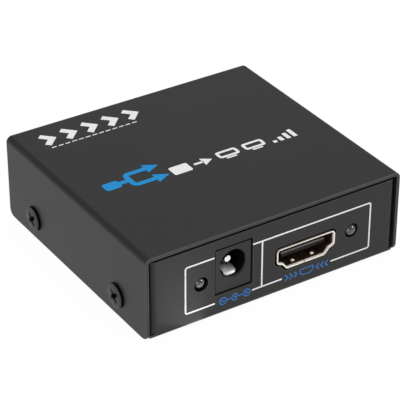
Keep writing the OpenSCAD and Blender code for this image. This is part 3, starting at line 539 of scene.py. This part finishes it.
def made_by(tree, name, values):
    """Plain mesh object from a geometry tree whose named inputs are set to the values."""
    piece = show(bpy.data.objects.new(name, bpy.data.meshes.new(name)))
    nodes = piece.modifiers.new("rule", "NODES")
    nodes.node_group = tree
    for item in tree.interface.items_tree:
        if item.in_out == "INPUT":
            nodes[item.identifier] = values[item.name]
    return settle(piece)


contact_rule, (upper, lower, count, pitch, place_at, turned_by, plating) = rule("contact_rows", {
    "Upper": "Object", "Lower": "Object", "Count": "Int", "Pitch": "Float",
    "Place": "Vector", "Turn": "Vector", "Plating": "Material"})
rows = []
for blade, fewer in ((upper, 0), (lower, 1)):
    start = count.node("ShaderNodeCombineXYZ", {0: (count - (1 + fewer)) * pitch * -0.5})
    pace = pitch.node("ShaderNodeCombineXYZ", {0: pitch})
    spacing = {"Count": count - fewer, "Start Location": start, "Offset": pace}
    line = count.node("GeometryNodeMeshLine", spacing)
    shape = blade.node("GeometryNodeObjectInfo", {"Object": blade}, "Geometry")
    rows.append(line.node("GeometryNodeInstanceOnPoints", {"Points": line, "Instance": shape}))
both = rows[0].node("GeometryNodeJoinGeometry", {"Geometry": rows})
spin = turned_by.node("FunctionNodeEulerToRotation", {0: turned_by})
put = both.node("GeometryNodeTransform", {"Geometry": both, "Translation": place_at, "Rotation": spin})
end_rule(contact_rule, put, plating)


def contact_strip(name, blade_z):
    """Contact with its blade along the tongue, a tail bent down behind the shell and a foot on the board."""
    work = bmesh.new()
    bend = [(y, blade_z + drop) for y, drop in contact_bend]
    path = [(contact_start, blade_z)] + bend + contact_foot
    stroke(work, [Vector(p) for p in path], contact_t, -contact_w / 2, contact_w / 2,
           lambda u, v, h: (h, mouth_y + u, v))
    return piece_of(work, name, [contact_gold])


sunk = contact_t / 2 - contact_proud
upper_strip = contact_strip("upper_contact", tongue_z + tongue_t - sunk)
lower_strip = contact_strip("lower_contact", tongue_z + sunk)
sockets = {"input": front_place(input_x), "output_1": rear_place(output_x), "output_2": rear_place(-output_x)}
for name, place in sockets.items():
    shell = socket_shell(name + "_socket_shell", place)
    fit(shell, "shell_plate", name + "_shell")
    tongue = eased(name + "_insulator", name + "_socket_tongue", tongue_ease, [socket_resin])
    tongue.data.materials.append(tongue_chamfer_highlight)
    # Faces of the front chamfer get the paler colour, a painted highlight.
    for face in tongue.data.polygons:
        if abs(face.normal.y) > chamfer_tilt and face.normal.z > chamfer_tilt:
            face.material_index = 1
    fit(tongue, "socket_black", name + "_insulator")
    contacts = made_by(contact_rule, name + "_socket_contacts", {
        "Upper": upper_strip, "Lower": lower_strip, "Count": contact_count, "Pitch": contact_pitch * mm,
        "Place": place.to_translation() * mm, "Turn": place.to_euler(), "Plating": contact_gold})
    fit(contacts, "contact_gold", name + "_contacts")
for blade in (upper_strip, lower_strip):
    bpy.data.objects.remove(blade)

# POWER JACK
# Moulded housing, square in front and round behind, for a barrel plug. A nickel-plated centre pin is riveted
# to its terminal at the back, and a sprung sleeve leaf rises into the bore from below.
jack_x, jack_face, bore_z, bore_r = -10.6, -29.0, 11.5, 3.2
housing_ease = 0.1 * mm
pin_r, pin_nose_r, pin_tip, pin_step, pin_seat = 1.0, 0.84, 2.0, 2.72, 9.8
nose_ease, nose_steps, pin_shoulder, pin_sides, axis_r = 0.24, 5, 0.16, 40, 0.05
shank_r, shank_end, rivet_r, rivet_ease, rivet_h = 0.75, 13.0, 0.6, 0.1, 0.15
terminal_half, terminal_front, terminal_low, terminal_top = 1.2, 12.6, 3.0, 12.7
leaf_half, leaf_t, leaf_bulge = 1.5, 0.28, 0.05
leaf_path = [(10.2, 2.35), (7.0, 3.09), (4.1, 3.755), (3.7, 3.83), (3.2, 3.85), (2.7, 3.83), (2.25, 3.76),
             (1.85, 3.63), (1.5, 3.45), (1.25, 3.25), (1.1, 3.05), (1.02, 2.86)]
leaf_narrowing = [0.0] * 9 + [0.08, 0.3, 0.7]
wing_reach, wing_profile = 2.9, [(6.6, 3.18), (7.6, 2.95), (7.6, 2.65), (6.6, 2.88)]
jack_nickel = plated("jack_nickel", (0.80, 0.79, 0.77), (0.94, 0.93, 0.91), 0.16, 0.3, drawn_in)
leaf_tin = plated("leaf_tin", (0.94, 0.94, 0.93), (0.99, 0.99, 0.98), 0.3, 0.4, drawn_in, metallic=0.55)


def jack_moulding():
    """Matt black moulding, darkened to near black inside the bore as painted shade in the hollow."""
    made, shader, at = finish("jack_resin", {"Specular IOR Level": 0.3})
    speck = at.noise(waves=3600.0)
    along = at.node("ShaderNodeSeparateXYZ", {0: at})
    aside = along - jack_x * mm
    above = along.beside(2) - bore_z * mm
    # Inside the bore the colour is painted near black: painted shade.
    outside = (aside * aside + above * above) > (bore_r * mm) ** 2
    pale = outside * speck.span(0.8, 1.0)
    pale.tint((0.001, 0.001, 0.001), (0.021, 0.0205, 0.0205)).into(shader, "Base Color")
    speck.span(0.4, 0.54).into(shader, "Roughness")
    speck.relief(depth=0.006 * mm, strength=0.5).into(shader, "Normal")
    return made


jack_resin = jack_moulding()
housing = eased("power_jack_housing", "jack_housing", housing_ease, [jack_resin])
fit(housing, "jack_black", "power_jack_housing")


def turned(work, profile, steps=48, place=None):
    """Solid of revolution about Z from (radius, height) points, lowest first."""
    place = place or Matrix.Identity(4)
    angles = [2 * math.pi * k / steps for k in range(steps)]
    loft(work, [[place @ Vector((r * math.cos(a), r * math.sin(a), z)) for a in angles] for r, z in profile])


def quarter_turn(steps):
    return [math.pi / 2 * k / steps for k in range(steps + 1)]


work = bmesh.new()
inwards = Matrix.Translation((jack_x, jack_face, bore_z)) @ Matrix.Rotation(-math.pi / 2, 4, "X")
nose = [(axis_r, pin_tip)]
for a in quarter_turn(nose_steps):
    nose.append((pin_nose_r - nose_ease * (1 - math.sin(a)), pin_tip + nose_ease * (1 - math.cos(a))))
nose.append((pin_nose_r, pin_step))
body = [(pin_r, pin_step + pin_shoulder), (pin_r, pin_seat), (shank_r, pin_seat)]
rivet = [(shank_r, shank_end), (rivet_r, shank_end + rivet_ease), (axis_r, shank_end + rivet_h)]
turned(work, nose + body + rivet, pin_sides, inwards)
foot = [(-terminal_half, terminal_front), (terminal_half, terminal_front), (terminal_half, shank_end),
        (-terminal_half, shank_end)]
loft(work, [[(jack_x + x, jack_face + y, z) for x, y in foot] for z in (terminal_low, terminal_top)])
pin = piece_of(work, "jack_pin", [jack_nickel])
fit(pin, "jack_tin", "power_jack_pin")


def in_jack(x, u, v):
    return jack_x + x, jack_face + u, board_z + v


def crowned(x, y):
    return leaf_bulge * (1 - (x / leaf_half) ** 2)


work = bmesh.new()
halves = [leaf_half - narrow for narrow in leaf_narrowing]
strip(work, [Vector(p) for p in leaf_path], halves, leaf_t, crowned, in_jack)
loft(work, [[in_jack(x, *p) for p in wing_profile] for x in (leaf_half - leaf_t, wing_reach)])
leaf = piece_of(work, "jack_sleeve_leaf", [leaf_tin])
fit(leaf, "jack_tin", "power_jack_spring", body="jack_spring")
dress("power_jack_terminal", jack_nickel)
dress("power_jack_switch", jack_nickel)

# LEDS
# Epoxy lenses, 3 mm across, cast round a lead frame: a post, and an anvil with a small cup for the die. The
# lenses are coloured dark grey and only partly clear, as painted shade for the dark case seen through clear
# epoxy.
# They stand on leads bent down to the board, with their domes at the panel's face or just past it.
led_rise, lens_r, lens_len, dome_tip_r = 3.9, 1.5, 5.2, 0.004
dome_steps, lens_sides, cup_sides = 14, 56, 24
flange_r, flange_front, flange_flat, flange_ease = 1.9, 4.2, 1.65, 0.05
frame_half = 0.22
anvil = [(-1.05, 5.1), (-1.2, 3.0), (-0.5, 2.3), (0.35, 2.3), (0.35, 2.9), (-0.35, 3.5), (-0.6, 5.1)]
post = [(0.75, 5.1), (0.6, 3.1), (0.75, 2.4), (1.15, 2.4), (1.2, 5.1)]
cup_x, cup = -0.1, [(axis_r, 2.18), (0.26, 2.16), (0.40, 1.98), (0.46, 2.02), (0.34, 2.3), (axis_r, 2.3)]
power_led_x, input_led_x, output_led_x = -18.6, 19.6, 22.6
power_led_proud, video_led_proud = 0.0, 0.4


def shaded_clear_epoxy():
    # The epoxy is coloured dark grey with part transmission: painted shade for the dark case seen through a
    # clear lens.
    made, shader, at = finish("shaded_clear_epoxy", {"Transmission Weight": 0.35, "IOR": 1.85})
    haze = at.noise(waves=900.0)
    haze.tint((0.05, 0.051, 0.053), (0.075, 0.076, 0.078)).into(shader, "Base Color")
    haze.span(0.05, 0.1).into(shader, "Roughness")
    return made


led_epoxy = shaded_clear_epoxy()


def led(name, place, proud, node):
    work = bmesh.new()
    inwards = place @ Matrix.Translation((0, -proud, led_rise)) @ Matrix.Rotation(-math.pi / 2, 4, "X")
    turn = quarter_turn(dome_steps)
    dome = [(lens_r * math.sin(a) + dome_tip_r, lens_r - lens_r * math.cos(a)) for a in turn]
    rim = flange_r - flange_ease
    flange = [(lens_r, flange_front), (rim, flange_front), (flange_r, flange_front + flange_ease)]
    flange += [(flange_r, lens_len - flange_ease), (rim, lens_len), (axis_r, lens_len)]
    turned(work, dome + flange, lens_sides, inwards)
    for vert in work.verts:
        local = inwards.inverted() @ vert.co
        local.x = min(local.x, flange_flat)
        vert.co = inwards @ local
    lens_faces = len(work.faces)
    for outline in (anvil, post):
        loft(work, [[inwards @ Vector((x, h, z)) for x, z in outline] for h in (-frame_half, frame_half)])
    turned(work, cup, cup_sides, inwards @ Matrix.Translation((cup_x, 0, 0)))
    work.faces.ensure_lookup_table()
    for face in work.faces[lens_faces:]:
        face.material_index = 1
    piece = piece_of(work, name, [led_epoxy, lead_tin])
    fit(piece, "led_clear", node)


led("power_light", front_place(power_led_x), power_led_proud, "power_led")
led("input_light", front_place(input_led_x), video_led_proud, "input_led")
led("output_1_light", rear_place(output_led_x), video_led_proud, "output_1_led")
led("output_2_light", rear_place(-output_led_x), video_led_proud, "output_2_led")

# BOARD SCREWS
# Four small pan-head steel screws with cross recesses, zinc plated, through the board into the standoffs.
dress("board_screws", bright_zinc)

# COVER
# One sheet of 0.8 mm steel folded into top and sides, powder coated as the base is. It slides over the base
# and is held by two screws in each side.
cover_ease = 0.26 * mm
cover = eased("top_cover", "cover", cover_ease, [case_paint, case_edge_highlight], steps=3)
fit(cover, "case_paint", "top_cover")

# COVER SCREWS
# Four thin-head machine screws in black zinc, two in each side, with a cross recess in a low crown. The zinc
# is worn to grey on the crown; the rim is painted near black with almost no gloss, as painted shade under the
# head.
case_half, screw_spread, screw_z = 32.0, 17.7, 5.0
head_r, head_ease, rim_h, crown_h, crown_tip_r = 2.8, 0.06, 0.55, 0.2, 0.01
crown_steps, screw_sides = 12, 64
thread_r, thread_root, thread_pitch, thread_turns, screw_len = 1.5, 1.27, 0.5, 7, 4.0
thread_lead, flank_h, crest_h = 0.2, 0.2, 0.06
recess_ease, recess_crease = 0.03 * mm, 40
wing_half, wing_w, wing_root, recess_angle = 1.7, 0.37, 0.52, 40
recess_steps = ((1.15, 1.1), (1.0, 0.72), (0.6, 0.15))


def black_zinc():
    made, crown, at = finish("black_zinc", {"Specular IOR Level": 0.3})
    # The rim's side is painted near black with almost no gloss: painted shade for the shadow under the head's
    # edge.
    rim = crown.id_data.nodes.new("ShaderNodeBsdfPrincipled")
    rim.inputs["Base Color"].default_value = (0.002, 0.002, 0.002, 1)
    rim.inputs["Specular IOR Level"].default_value = 0.02
    bloom = at.noise(waves=700.0, detail=3.0)
    bloom.tint((0.013, 0.0127, 0.0125), (0.024, 0.0235, 0.023)).into(crown, "Base Color")
    bloom.span(0.34, 0.5).into(crown, "Roughness")
    bloom.span(0.5, 0.7).into(rim, "Roughness")
    at.noise(waves=3200.0).relief(depth=0.006 * mm, strength=0.5).into(crown, "Normal")
    along = at.node("ShaderNodeSeparateXYZ", {0: at})
    crown_not_shaded_rim = along.math("ABSOLUTE", along) > (case_half + rim_h - head_ease) * mm
    both = {0: crown_not_shaded_rim, 1: Wire(at.tree, rim.outputs[0]), 2: Wire(at.tree, crown.outputs[0])}
    at.node("ShaderNodeMixShader", both).into(made.node_tree.nodes["Material Output"], "Surface")
    return made


screw_zinc = black_zinc()
work = bmesh.new()
shank = [(axis_r, -screw_len), (thread_root, -screw_len)]
for k in range(thread_turns):
    low = -screw_len + thread_lead + thread_pitch * k
    shank += [(thread_root, low), (thread_r, low + flank_h), (thread_r, low + flank_h + crest_h)]
rim = [(thread_r, 0), (head_r - head_ease, 0), (head_r, head_ease), (head_r, rim_h - head_ease)]
top_r = head_r - head_ease
turn = quarter_turn(crown_steps)
crown = [(top_r * math.cos(a) + crown_tip_r, rim_h + crown_h * math.sin(a)) for a in turn]
turned(work, shank + rim + crown, screw_sides)
screw = piece_of(work, "cover_screw", [screw_zinc])
work = bmesh.new()
wings = []
for scale, z in recess_steps[::-1]:
    wing = [(wing_half * scale, -wing_w * scale), (wing_half * scale, wing_w * scale),
            (wing_root * scale, wing_root * scale)]
    turns = [Matrix.Rotation(math.radians(recess_angle + 90 * k), 4, "Z") for k in range(4)]
    wings.append([turn @ Vector((*p, z)) for turn in turns for p in wing])
loft(work, wings)
recess = piece_of(work, "cover_screw_recess", [screw_zinc])
cut = screw.modifiers.new("recess", "BOOLEAN")
cut.operation = "DIFFERENCE"
cut.solver = "EXACT"
cut.object = recess
soften = screw.modifiers.new("soften", "BEVEL")
soften.width = recess_ease
soften.segments = 2
soften.limit_method = "ANGLE"
soften.angle_limit = math.radians(recess_crease)
settle(screw)
bpy.data.objects.remove(recess)
screw_rule, (part, reach, spread, height, plating) = rule("side_screws", {
    "Screw": "Object", "Reach": "Float", "Spread": "Float", "Height": "Float", "Plating": "Material"})
start = reach.node("ShaderNodeCombineXYZ", {0: reach, 1: spread * -1.0, 2: height})
pace = spread.node("ShaderNodeCombineXYZ", {1: spread * 2.0})
line = reach.node("GeometryNodeMeshLine", {"Count": 2, "Start Location": start, "Offset": pace})
shape = part.node("GeometryNodeObjectInfo", {"Object": part}, "Geometry")
outwards = (0, math.pi / 2, 0)
right = line.node("GeometryNodeInstanceOnPoints", {"Points": line, "Instance": shape, "Rotation": outwards})
left = right.node("GeometryNodeTransform", {"Geometry": right, "Rotation": (0, 0, math.pi)})
end_rule(screw_rule, right.node("GeometryNodeJoinGeometry", {"Geometry": [right, left]}), plating)
side_screws = made_by(screw_rule, "side_screws", {
    "Screw": screw, "Reach": case_half * mm, "Spread": screw_spread * mm, "Height": screw_z * mm,
    "Plating": screw_zinc})
fit(side_screws, "screw_black", "cover_screws")
bpy.data.objects.remove(screw)

# PRINTS
# Screen printed marks in white and blue ink, a few hundredths of a millimetre thick: plain frames round the
# ports, and simple signs of one source feeding two screens.
ink_low, ink_high = -0.01, 0.03
frame_top, frame_low, frame_w, frame_r = 14.7, 3.35, 0.36, 0.5
sign_v, sign_w = 3.25, 0.26
case_top = 20.0


def ink(name, tone, light):
    made, shader, at = finish(name, {"Specular IOR Level": 0.2})
    weave = at.noise(waves=1500.0)
    weave.blend(at.noise(waves=160.0), share=0.6).tint(tone, light).into(shader, "Base Color")
    weave.span(0.42, 0.56).into(shader, "Roughness")
    weave.relief(depth=0.006 * mm, strength=0.4).into(shader, "Normal")
    return made


white_ink = ink("white_ink", (0.94, 0.94, 0.94), (0.99, 0.99, 0.99))
blue_ink = ink("blue_ink", (0.004, 0.26, 0.66), (0.008, 0.33, 0.76))
label_blue = ink("label_blue", (0.035, 0.17, 0.50), (0.055, 0.23, 0.60))


def on_front(u, v, h):
    return Vector((u, -panel_y - h, v))


def on_rear(u, v, h):
    return Vector((-u, panel_y + h, v))


def on_top(u, v, h):
    return Vector((u, v, case_top + h))


def flat_line(*points):
    return [Vector(p) for p in points]


def rounded(points, radius, closed=False, steps=5):
    """Line with its corners rounded."""
    made = []
    for i, p in enumerate(points):
        if closed or 0 < i < len(points) - 1:
            made += corner(points[i - 1], p, points[(i + 1) % len(points)], radius, steps)
        else:
            made.append(p)
    return made


def arc(x, y, radius, start, end, steps=24):
    angles = [math.radians(start + (end - start) * k / steps) for k in range(steps + 1)]
    return [Vector((x + radius * math.cos(a), y + radius * math.sin(a))) for a in angles]


def ring(x, y, radius, sides=24):
    """Closed circle of points."""
    return arc(x, y, radius, 0, 360 - 360 / sides, sides - 1)


def block(x, y, w, h, radius):
    """Outline of a box with round corners about a middle."""
    corners = ((-w, -h), (w, -h), (w, h), (-w, h))
    return rounded(flat_line(*((x + a / 2, y + b / 2) for a, b in corners)), radius, True)


class Print:
    """Ink of one colour on one face of the case."""

    def __init__(self, face):
        self.face = face
        self.work = bmesh.new()

    def line(self, points, width, closed=False):
        stroke(self.work, points, width, ink_low, ink_high, self.face, closed)

    def fill(self, points):
        loft(self.work, [[self.face(*p, h) for p in points] for h in (ink_low, ink_high)])

    def dash(self, x0, x1, y, width):
        self.line(flat_line((x0, y), (x1, y)), width)

    def chevron(self, x, y, size, width, way=1):
        half = way * size / 2
        self.line(flat_line((x - half, y + size), (x + half, y), (x - half, y - size)), width)

    def arrow_head(self, x, y, length, half):
        self.fill(flat_line((x, y - half), (x + length, y), (x, y + half)))

    def done(self, name, material):
        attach(piece_of(self.work, name, [material]), "case")


front_white = Print(on_front)
frame_left, frame_right, divider_u = -22.5, 24.4, -3.58
jack_gap, jack_sign_gap, port_sign_gap = (-15.5, -5.95), (-15.3, -6.0), (1.6, 14.3)
left_frame = flat_line((jack_gap[0], frame_top), (frame_left, frame_top), (frame_left, frame_low),
                       (jack_sign_gap[0], frame_low))
right_frame = flat_line((jack_gap[1], frame_top), (frame_right, frame_top), (frame_right, frame_low),
                        (port_sign_gap[1], frame_low))
front_white.line(rounded(left_frame, frame_r), frame_w)
front_white.line(rounded(right_frame, frame_r), frame_w)
front_white.dash(jack_sign_gap[1], port_sign_gap[0], frame_low, frame_w)
divider = (frame_low + frame_w / 2, frame_top - frame_w / 2)
front_white.line(flat_line(*((divider_u, v) for v in divider)), frame_w)
front_white.done("print_front_white", white_ink)

front_blue = Print(on_front)
pole_u, pole_gap, pole_r, pole_bar = -10.3, 2.95, 0.82, 0.42
sleeve_r, sleeve_open, sleeve_stop, tip_r = 0.78, 42, 0.8, 0.3
front_blue.line(arc(pole_u, sign_v, sleeve_r, sleeve_open, 360 - sleeve_open), sign_w)
front_blue.fill(ring(pole_u, sign_v, tip_r))
front_blue.dash(pole_u + tip_r, pole_u + pole_gap - pole_r, sign_v, sign_w)
front_blue.dash(pole_u - sleeve_stop, pole_u - pole_gap + pole_r, sign_v, sign_w)
plus_u = pole_u + pole_gap
for way in (-1, 1):
    pole = pole_u + way * pole_gap
    front_blue.line(ring(pole, sign_v, pole_r), sign_w, True)
    front_blue.dash(pole - pole_bar, pole + pole_bar, sign_v, sign_w)
    upright = flat_line((plus_u, sign_v + way * sign_w / 2), (plus_u, sign_v + way * pole_bar))
    front_blue.line(upright, sign_w)
port_u, port_half, port_floor, port_v, port_shoulder, port_r = 8.0, 1.7, 1.0, 0.75, -0.1, 0.15
port = flat_line((-port_floor, -port_v), (port_floor, -port_v), (port_half, port_shoulder),
                 (port_half, port_v), (-port_half, port_v), (-port_half, port_shoulder))
front_blue.line([p + Vector((port_u, sign_v)) for p in rounded(port, port_r, True)], sign_w, True)
chevron_size, chevron_w, chevron_first, chevron_pitch, chevron_count = 0.72, 0.32, 2.9, 1.15, 3
for way in (-1, 1):
    for k in range(chevron_count):
        chevron_u = port_u - way * (chevron_first + chevron_pitch * k)
        front_blue.chevron(chevron_u, sign_v, chevron_size, chevron_w, way)
front_blue.done("print_front_blue", label_blue)

rear_white = Print(on_rear)
frame_half_w, frame_break, frame_join = 26.2, 18.0, 5.2
for way in (-1, 1):
    half = flat_line((0, frame_top), (way * frame_half_w, frame_top), (way * frame_half_w, frame_low),
                     (way * frame_break, frame_low))
    rear_white.line(rounded(half, frame_r), frame_w)
    rear_white.dash(0, way * frame_join, frame_low, frame_w)
rear_white.line(flat_line((0, frame_low + frame_w / 2), (0, frame_top - frame_w / 2)), frame_w)
rear_white.done("print_rear_white", white_ink)

rear_blue = Print(on_rear)
digit_low, digit_top, digit_w = 2.4, 4.25, 0.32
flag_reach, flag_drop, foot_half = 0.55, 0.4, 0.5
bow_v, bow_r, bow_start, bow_end, bow_steps, two_foot = 3.75, 0.52, 160, -35, 14, (-0.55, 0.6)
first_u, second_u = -output_x, output_x
one = ((first_u - flag_reach, digit_top - flag_drop), (first_u, digit_top), (first_u, digit_low))
rear_blue.line(flat_line(*one), digit_w)
rear_blue.dash(first_u - foot_half, first_u + foot_half, digit_low, digit_w)
bow = arc(second_u, bow_v, bow_r, bow_start, bow_end, bow_steps)
rear_blue.line(bow + flat_line(*((second_u + u, digit_low) for u in two_foot)), digit_w)
beside_digit = 1.9
for middle in (first_u, second_u):
    for way in (-1, 1):
        for k in range(chevron_count):
            chevron_u = middle + way * (beside_digit + chevron_pitch * k)
            rear_blue.chevron(chevron_u, sign_v, chevron_size, chevron_w, way)
rear_blue.done("print_rear_blue", label_blue)

top_white = Print(on_top)
corner_v, corner_first, corner_pitch, corner_count, corner_size, corner_w = 23.3, -24.8, 5.3, 5, 2.1, 1.5
for k in range(corner_count):
    top_white.chevron(corner_first + corner_pitch * k, corner_v, corner_size, corner_w)
dash_v, dash_first, dash_pitch, dash_count, dash_len, dash_w = 19.7, -25.8, 1.7, 13, 1.2, 0.3
for k in range(dash_count):
    dash_u = dash_first + dash_pitch * k
    top_white.dash(dash_u, dash_u + dash_len, dash_v, dash_w)
row_v, row_h, bold = -3.1, 2.6, 0.7
box_u, box_w, box_r = -7.0, 4.6, 0.5
top_white.fill(block(box_u, row_v, box_w, row_h + bold, box_r))
shaft_start, shaft_end, arrow_u, arrow_len, arrow_half = -3.6, -1.2, -1.4, 2.4, 1.5
top_white.dash(shaft_start, shaft_end, row_v, bold)
top_white.arrow_head(arrow_u, row_v, arrow_len, arrow_half)
screens_u, screen_rise, screen_w, screen_less, screen_r = (5.2, 12.0), 0.3, 4.6, 0.6, 0.4
stand_half, stand_drop, stand_w = 1.3, 0.2, 0.5
for screen_u in screens_u:
    top_white.line(block(screen_u, row_v + screen_rise, screen_w, row_h - screen_less, screen_r), bold, True)
    top_white.dash(screen_u - stand_half, screen_u + stand_half, row_v - row_h / 2 - stand_drop, stand_w)
bar_first, bar_pitch, bar_count, bar_w, bar_low, bar_step, bar_r = 16.8, 1.75, 4, 1.0, 0.9, 0.8, 0.15
bar_foot = row_v - row_h / 2 - bold / 2
for k in range(bar_count):
    bar_h = bar_low + bar_step * k
    top_white.fill(block(bar_first + bar_pitch * k, bar_foot + bar_h / 2, bar_w, bar_h, bar_r))
top_white.done("print_top_white", white_ink)

top_blue = Print(on_top)
fork_u, fork_v, fork_w, fork_reach, fork_r = -18.6, -1.2, 1.25, 2.3, 0.9
plug_u, sign_plug_w, sign_plug_h, sign_plug_r = -23.0, 3.8, 2.9, 0.6
prong_u, prong_len, prong_half = -13.5, 3.4, 1.75
top_blue.fill(block(plug_u, fork_v, sign_plug_w, sign_plug_h, sign_plug_r))
top_blue.dash(plug_u + sign_plug_w / 2, fork_u - fork_w / 2, fork_v, fork_w)
high, low = fork_v + fork_reach, fork_v - fork_reach
arms = flat_line((prong_u, high), (fork_u, high), (fork_u, low), (prong_u, low))
top_blue.line(rounded(arms, fork_r), fork_w)
for prong_v in (low, high):
    top_blue.arrow_head(prong_u, prong_v, prong_len, prong_half)
top_blue.done("print_top_blue", blue_ink)

# STAGE
# The case stands on a pale floor under soft studio light, and is seen from the front left and above. A narrow
# bounce card lies on the floor along the line of sight, and lifts the left end of the front panel.
aim = Vector((0, 0, 0.01))
card_at, card_w, card_len, card_turn = (-0.0146, -0.0438, 0.0004), 0.0095, 0.0325, 32.9
sky_level, floor_glow, floor_white, floor_half = 0.35, 0.9, 1.05, 3000


def lamp(name, at, size, watts):
    made = show(bpy.data.objects.new(name, bpy.data.lights.new(name, "AREA")))
    made.data.shape = "SQUARE"
    made.data.size = size
    made.data.energy = watts
    made.location = at
    made.rotation_mode = "QUATERNION"
    made.rotation_quaternion = (aim - Vector(at)).to_track_quat("-Z", "Y")
    return made


lamp("overhead", (0.0, 0.0, 1.0), size=0.7, watts=3.6)
lamp("right_front", (0.68, -0.62, 0.40), size=0.22, watts=2.6)
lamp("left_front", (-0.24, -0.30, 0.07), size=0.12, watts=0.18)
lamp("left_side", (-0.9, 0.1, 0.25), size=0.4, watts=1.15)
lamp("back_right", (0.46, 0.72, 0.52), size=0.5, watts=0.35)
bounce_card = lamp("bounce_card", card_at, size=card_w, watts=0.00126)
bounce_card.data.shape = "RECTANGLE"
bounce_card.data.size_y = card_len
bounce_card.rotation_mode = "XYZ"
bounce_card.rotation_euler = (math.pi, 0, math.radians(card_turn))
bounce_card.visible_camera = False
world = bpy.data.worlds.new("studio")
bpy.context.scene.world = world
world.use_nodes = True
sky = world.node_tree.nodes["Background"]
sky.inputs["Color"].default_value = (1, 1, 1, 1)
sky.inputs["Strength"].default_value = sky_level


def pale_floor():
    """Pale floor that reads as white to the lens and in reflections, and still takes the soft shadow."""
    made, shader, at = finish("pale_floor", {"Roughness": 0.9, "Specular IOR Level": 0.0})
    at.noise(waves=3.0).tint((0.80, 0.80, 0.80), (0.82, 0.82, 0.82)).into(shader, "Base Color")
    path = at.node("ShaderNodeLightPath")
    seen = path + path.beside("Is Glossy Ray") + path.beside("Is Transmission Ray")
    glow = at.node("ShaderNodeEmission", {"Color": (1, 1, 1, 1), "Strength": floor_white})
    share = seen.math("MINIMUM", seen, 1.0) * floor_glow
    mixed = at.node("ShaderNodeMixShader", {0: share, 1: Wire(path.tree, shader.outputs[0]), 2: glow})
    mixed.into(made.node_tree.nodes["Material Output"], "Surface")
    return made


work = bmesh.new()
bmesh.ops.create_grid(work, x_segments=1, y_segments=1, size=floor_half)
floor = piece_of(work, "floor", [pale_floor()])

azimuth, elevation, roll = math.radians(-32.882), math.radians(31.683), math.radians(0.105)
distance, shift_right, shift_up = 429.784, -0.048, 7.03
focal_px, picture_px, sensor = 1931.784, 400.0, 36.0
clip_near, clip_far = 0.01, 20.0
level = math.cos(elevation)
back = Vector((math.sin(azimuth) * level, -math.cos(azimuth) * level, math.sin(elevation)))
right = Vector((math.cos(azimuth), math.sin(azimuth), 0))
up = back.cross(right)
eye = (back * distance + right * shift_right + up * shift_up) * mm
across = right * math.cos(roll) + up * math.sin(roll)
camera = show(bpy.data.objects.new("camera", bpy.data.cameras.new("camera")))
camera.data.sensor_width = sensor
camera.data.lens = focal_px * sensor / picture_px
camera.data.clip_start = clip_near
camera.data.clip_end = clip_far
axes = Matrix((across, back.cross(across), back)).transposed().to_4x4()
camera.matrix_world = Matrix.Translation(eye) @ axes
bpy.context.scene.camera = camera
bpy.context.scene.view_settings.view_transform = "Standard"
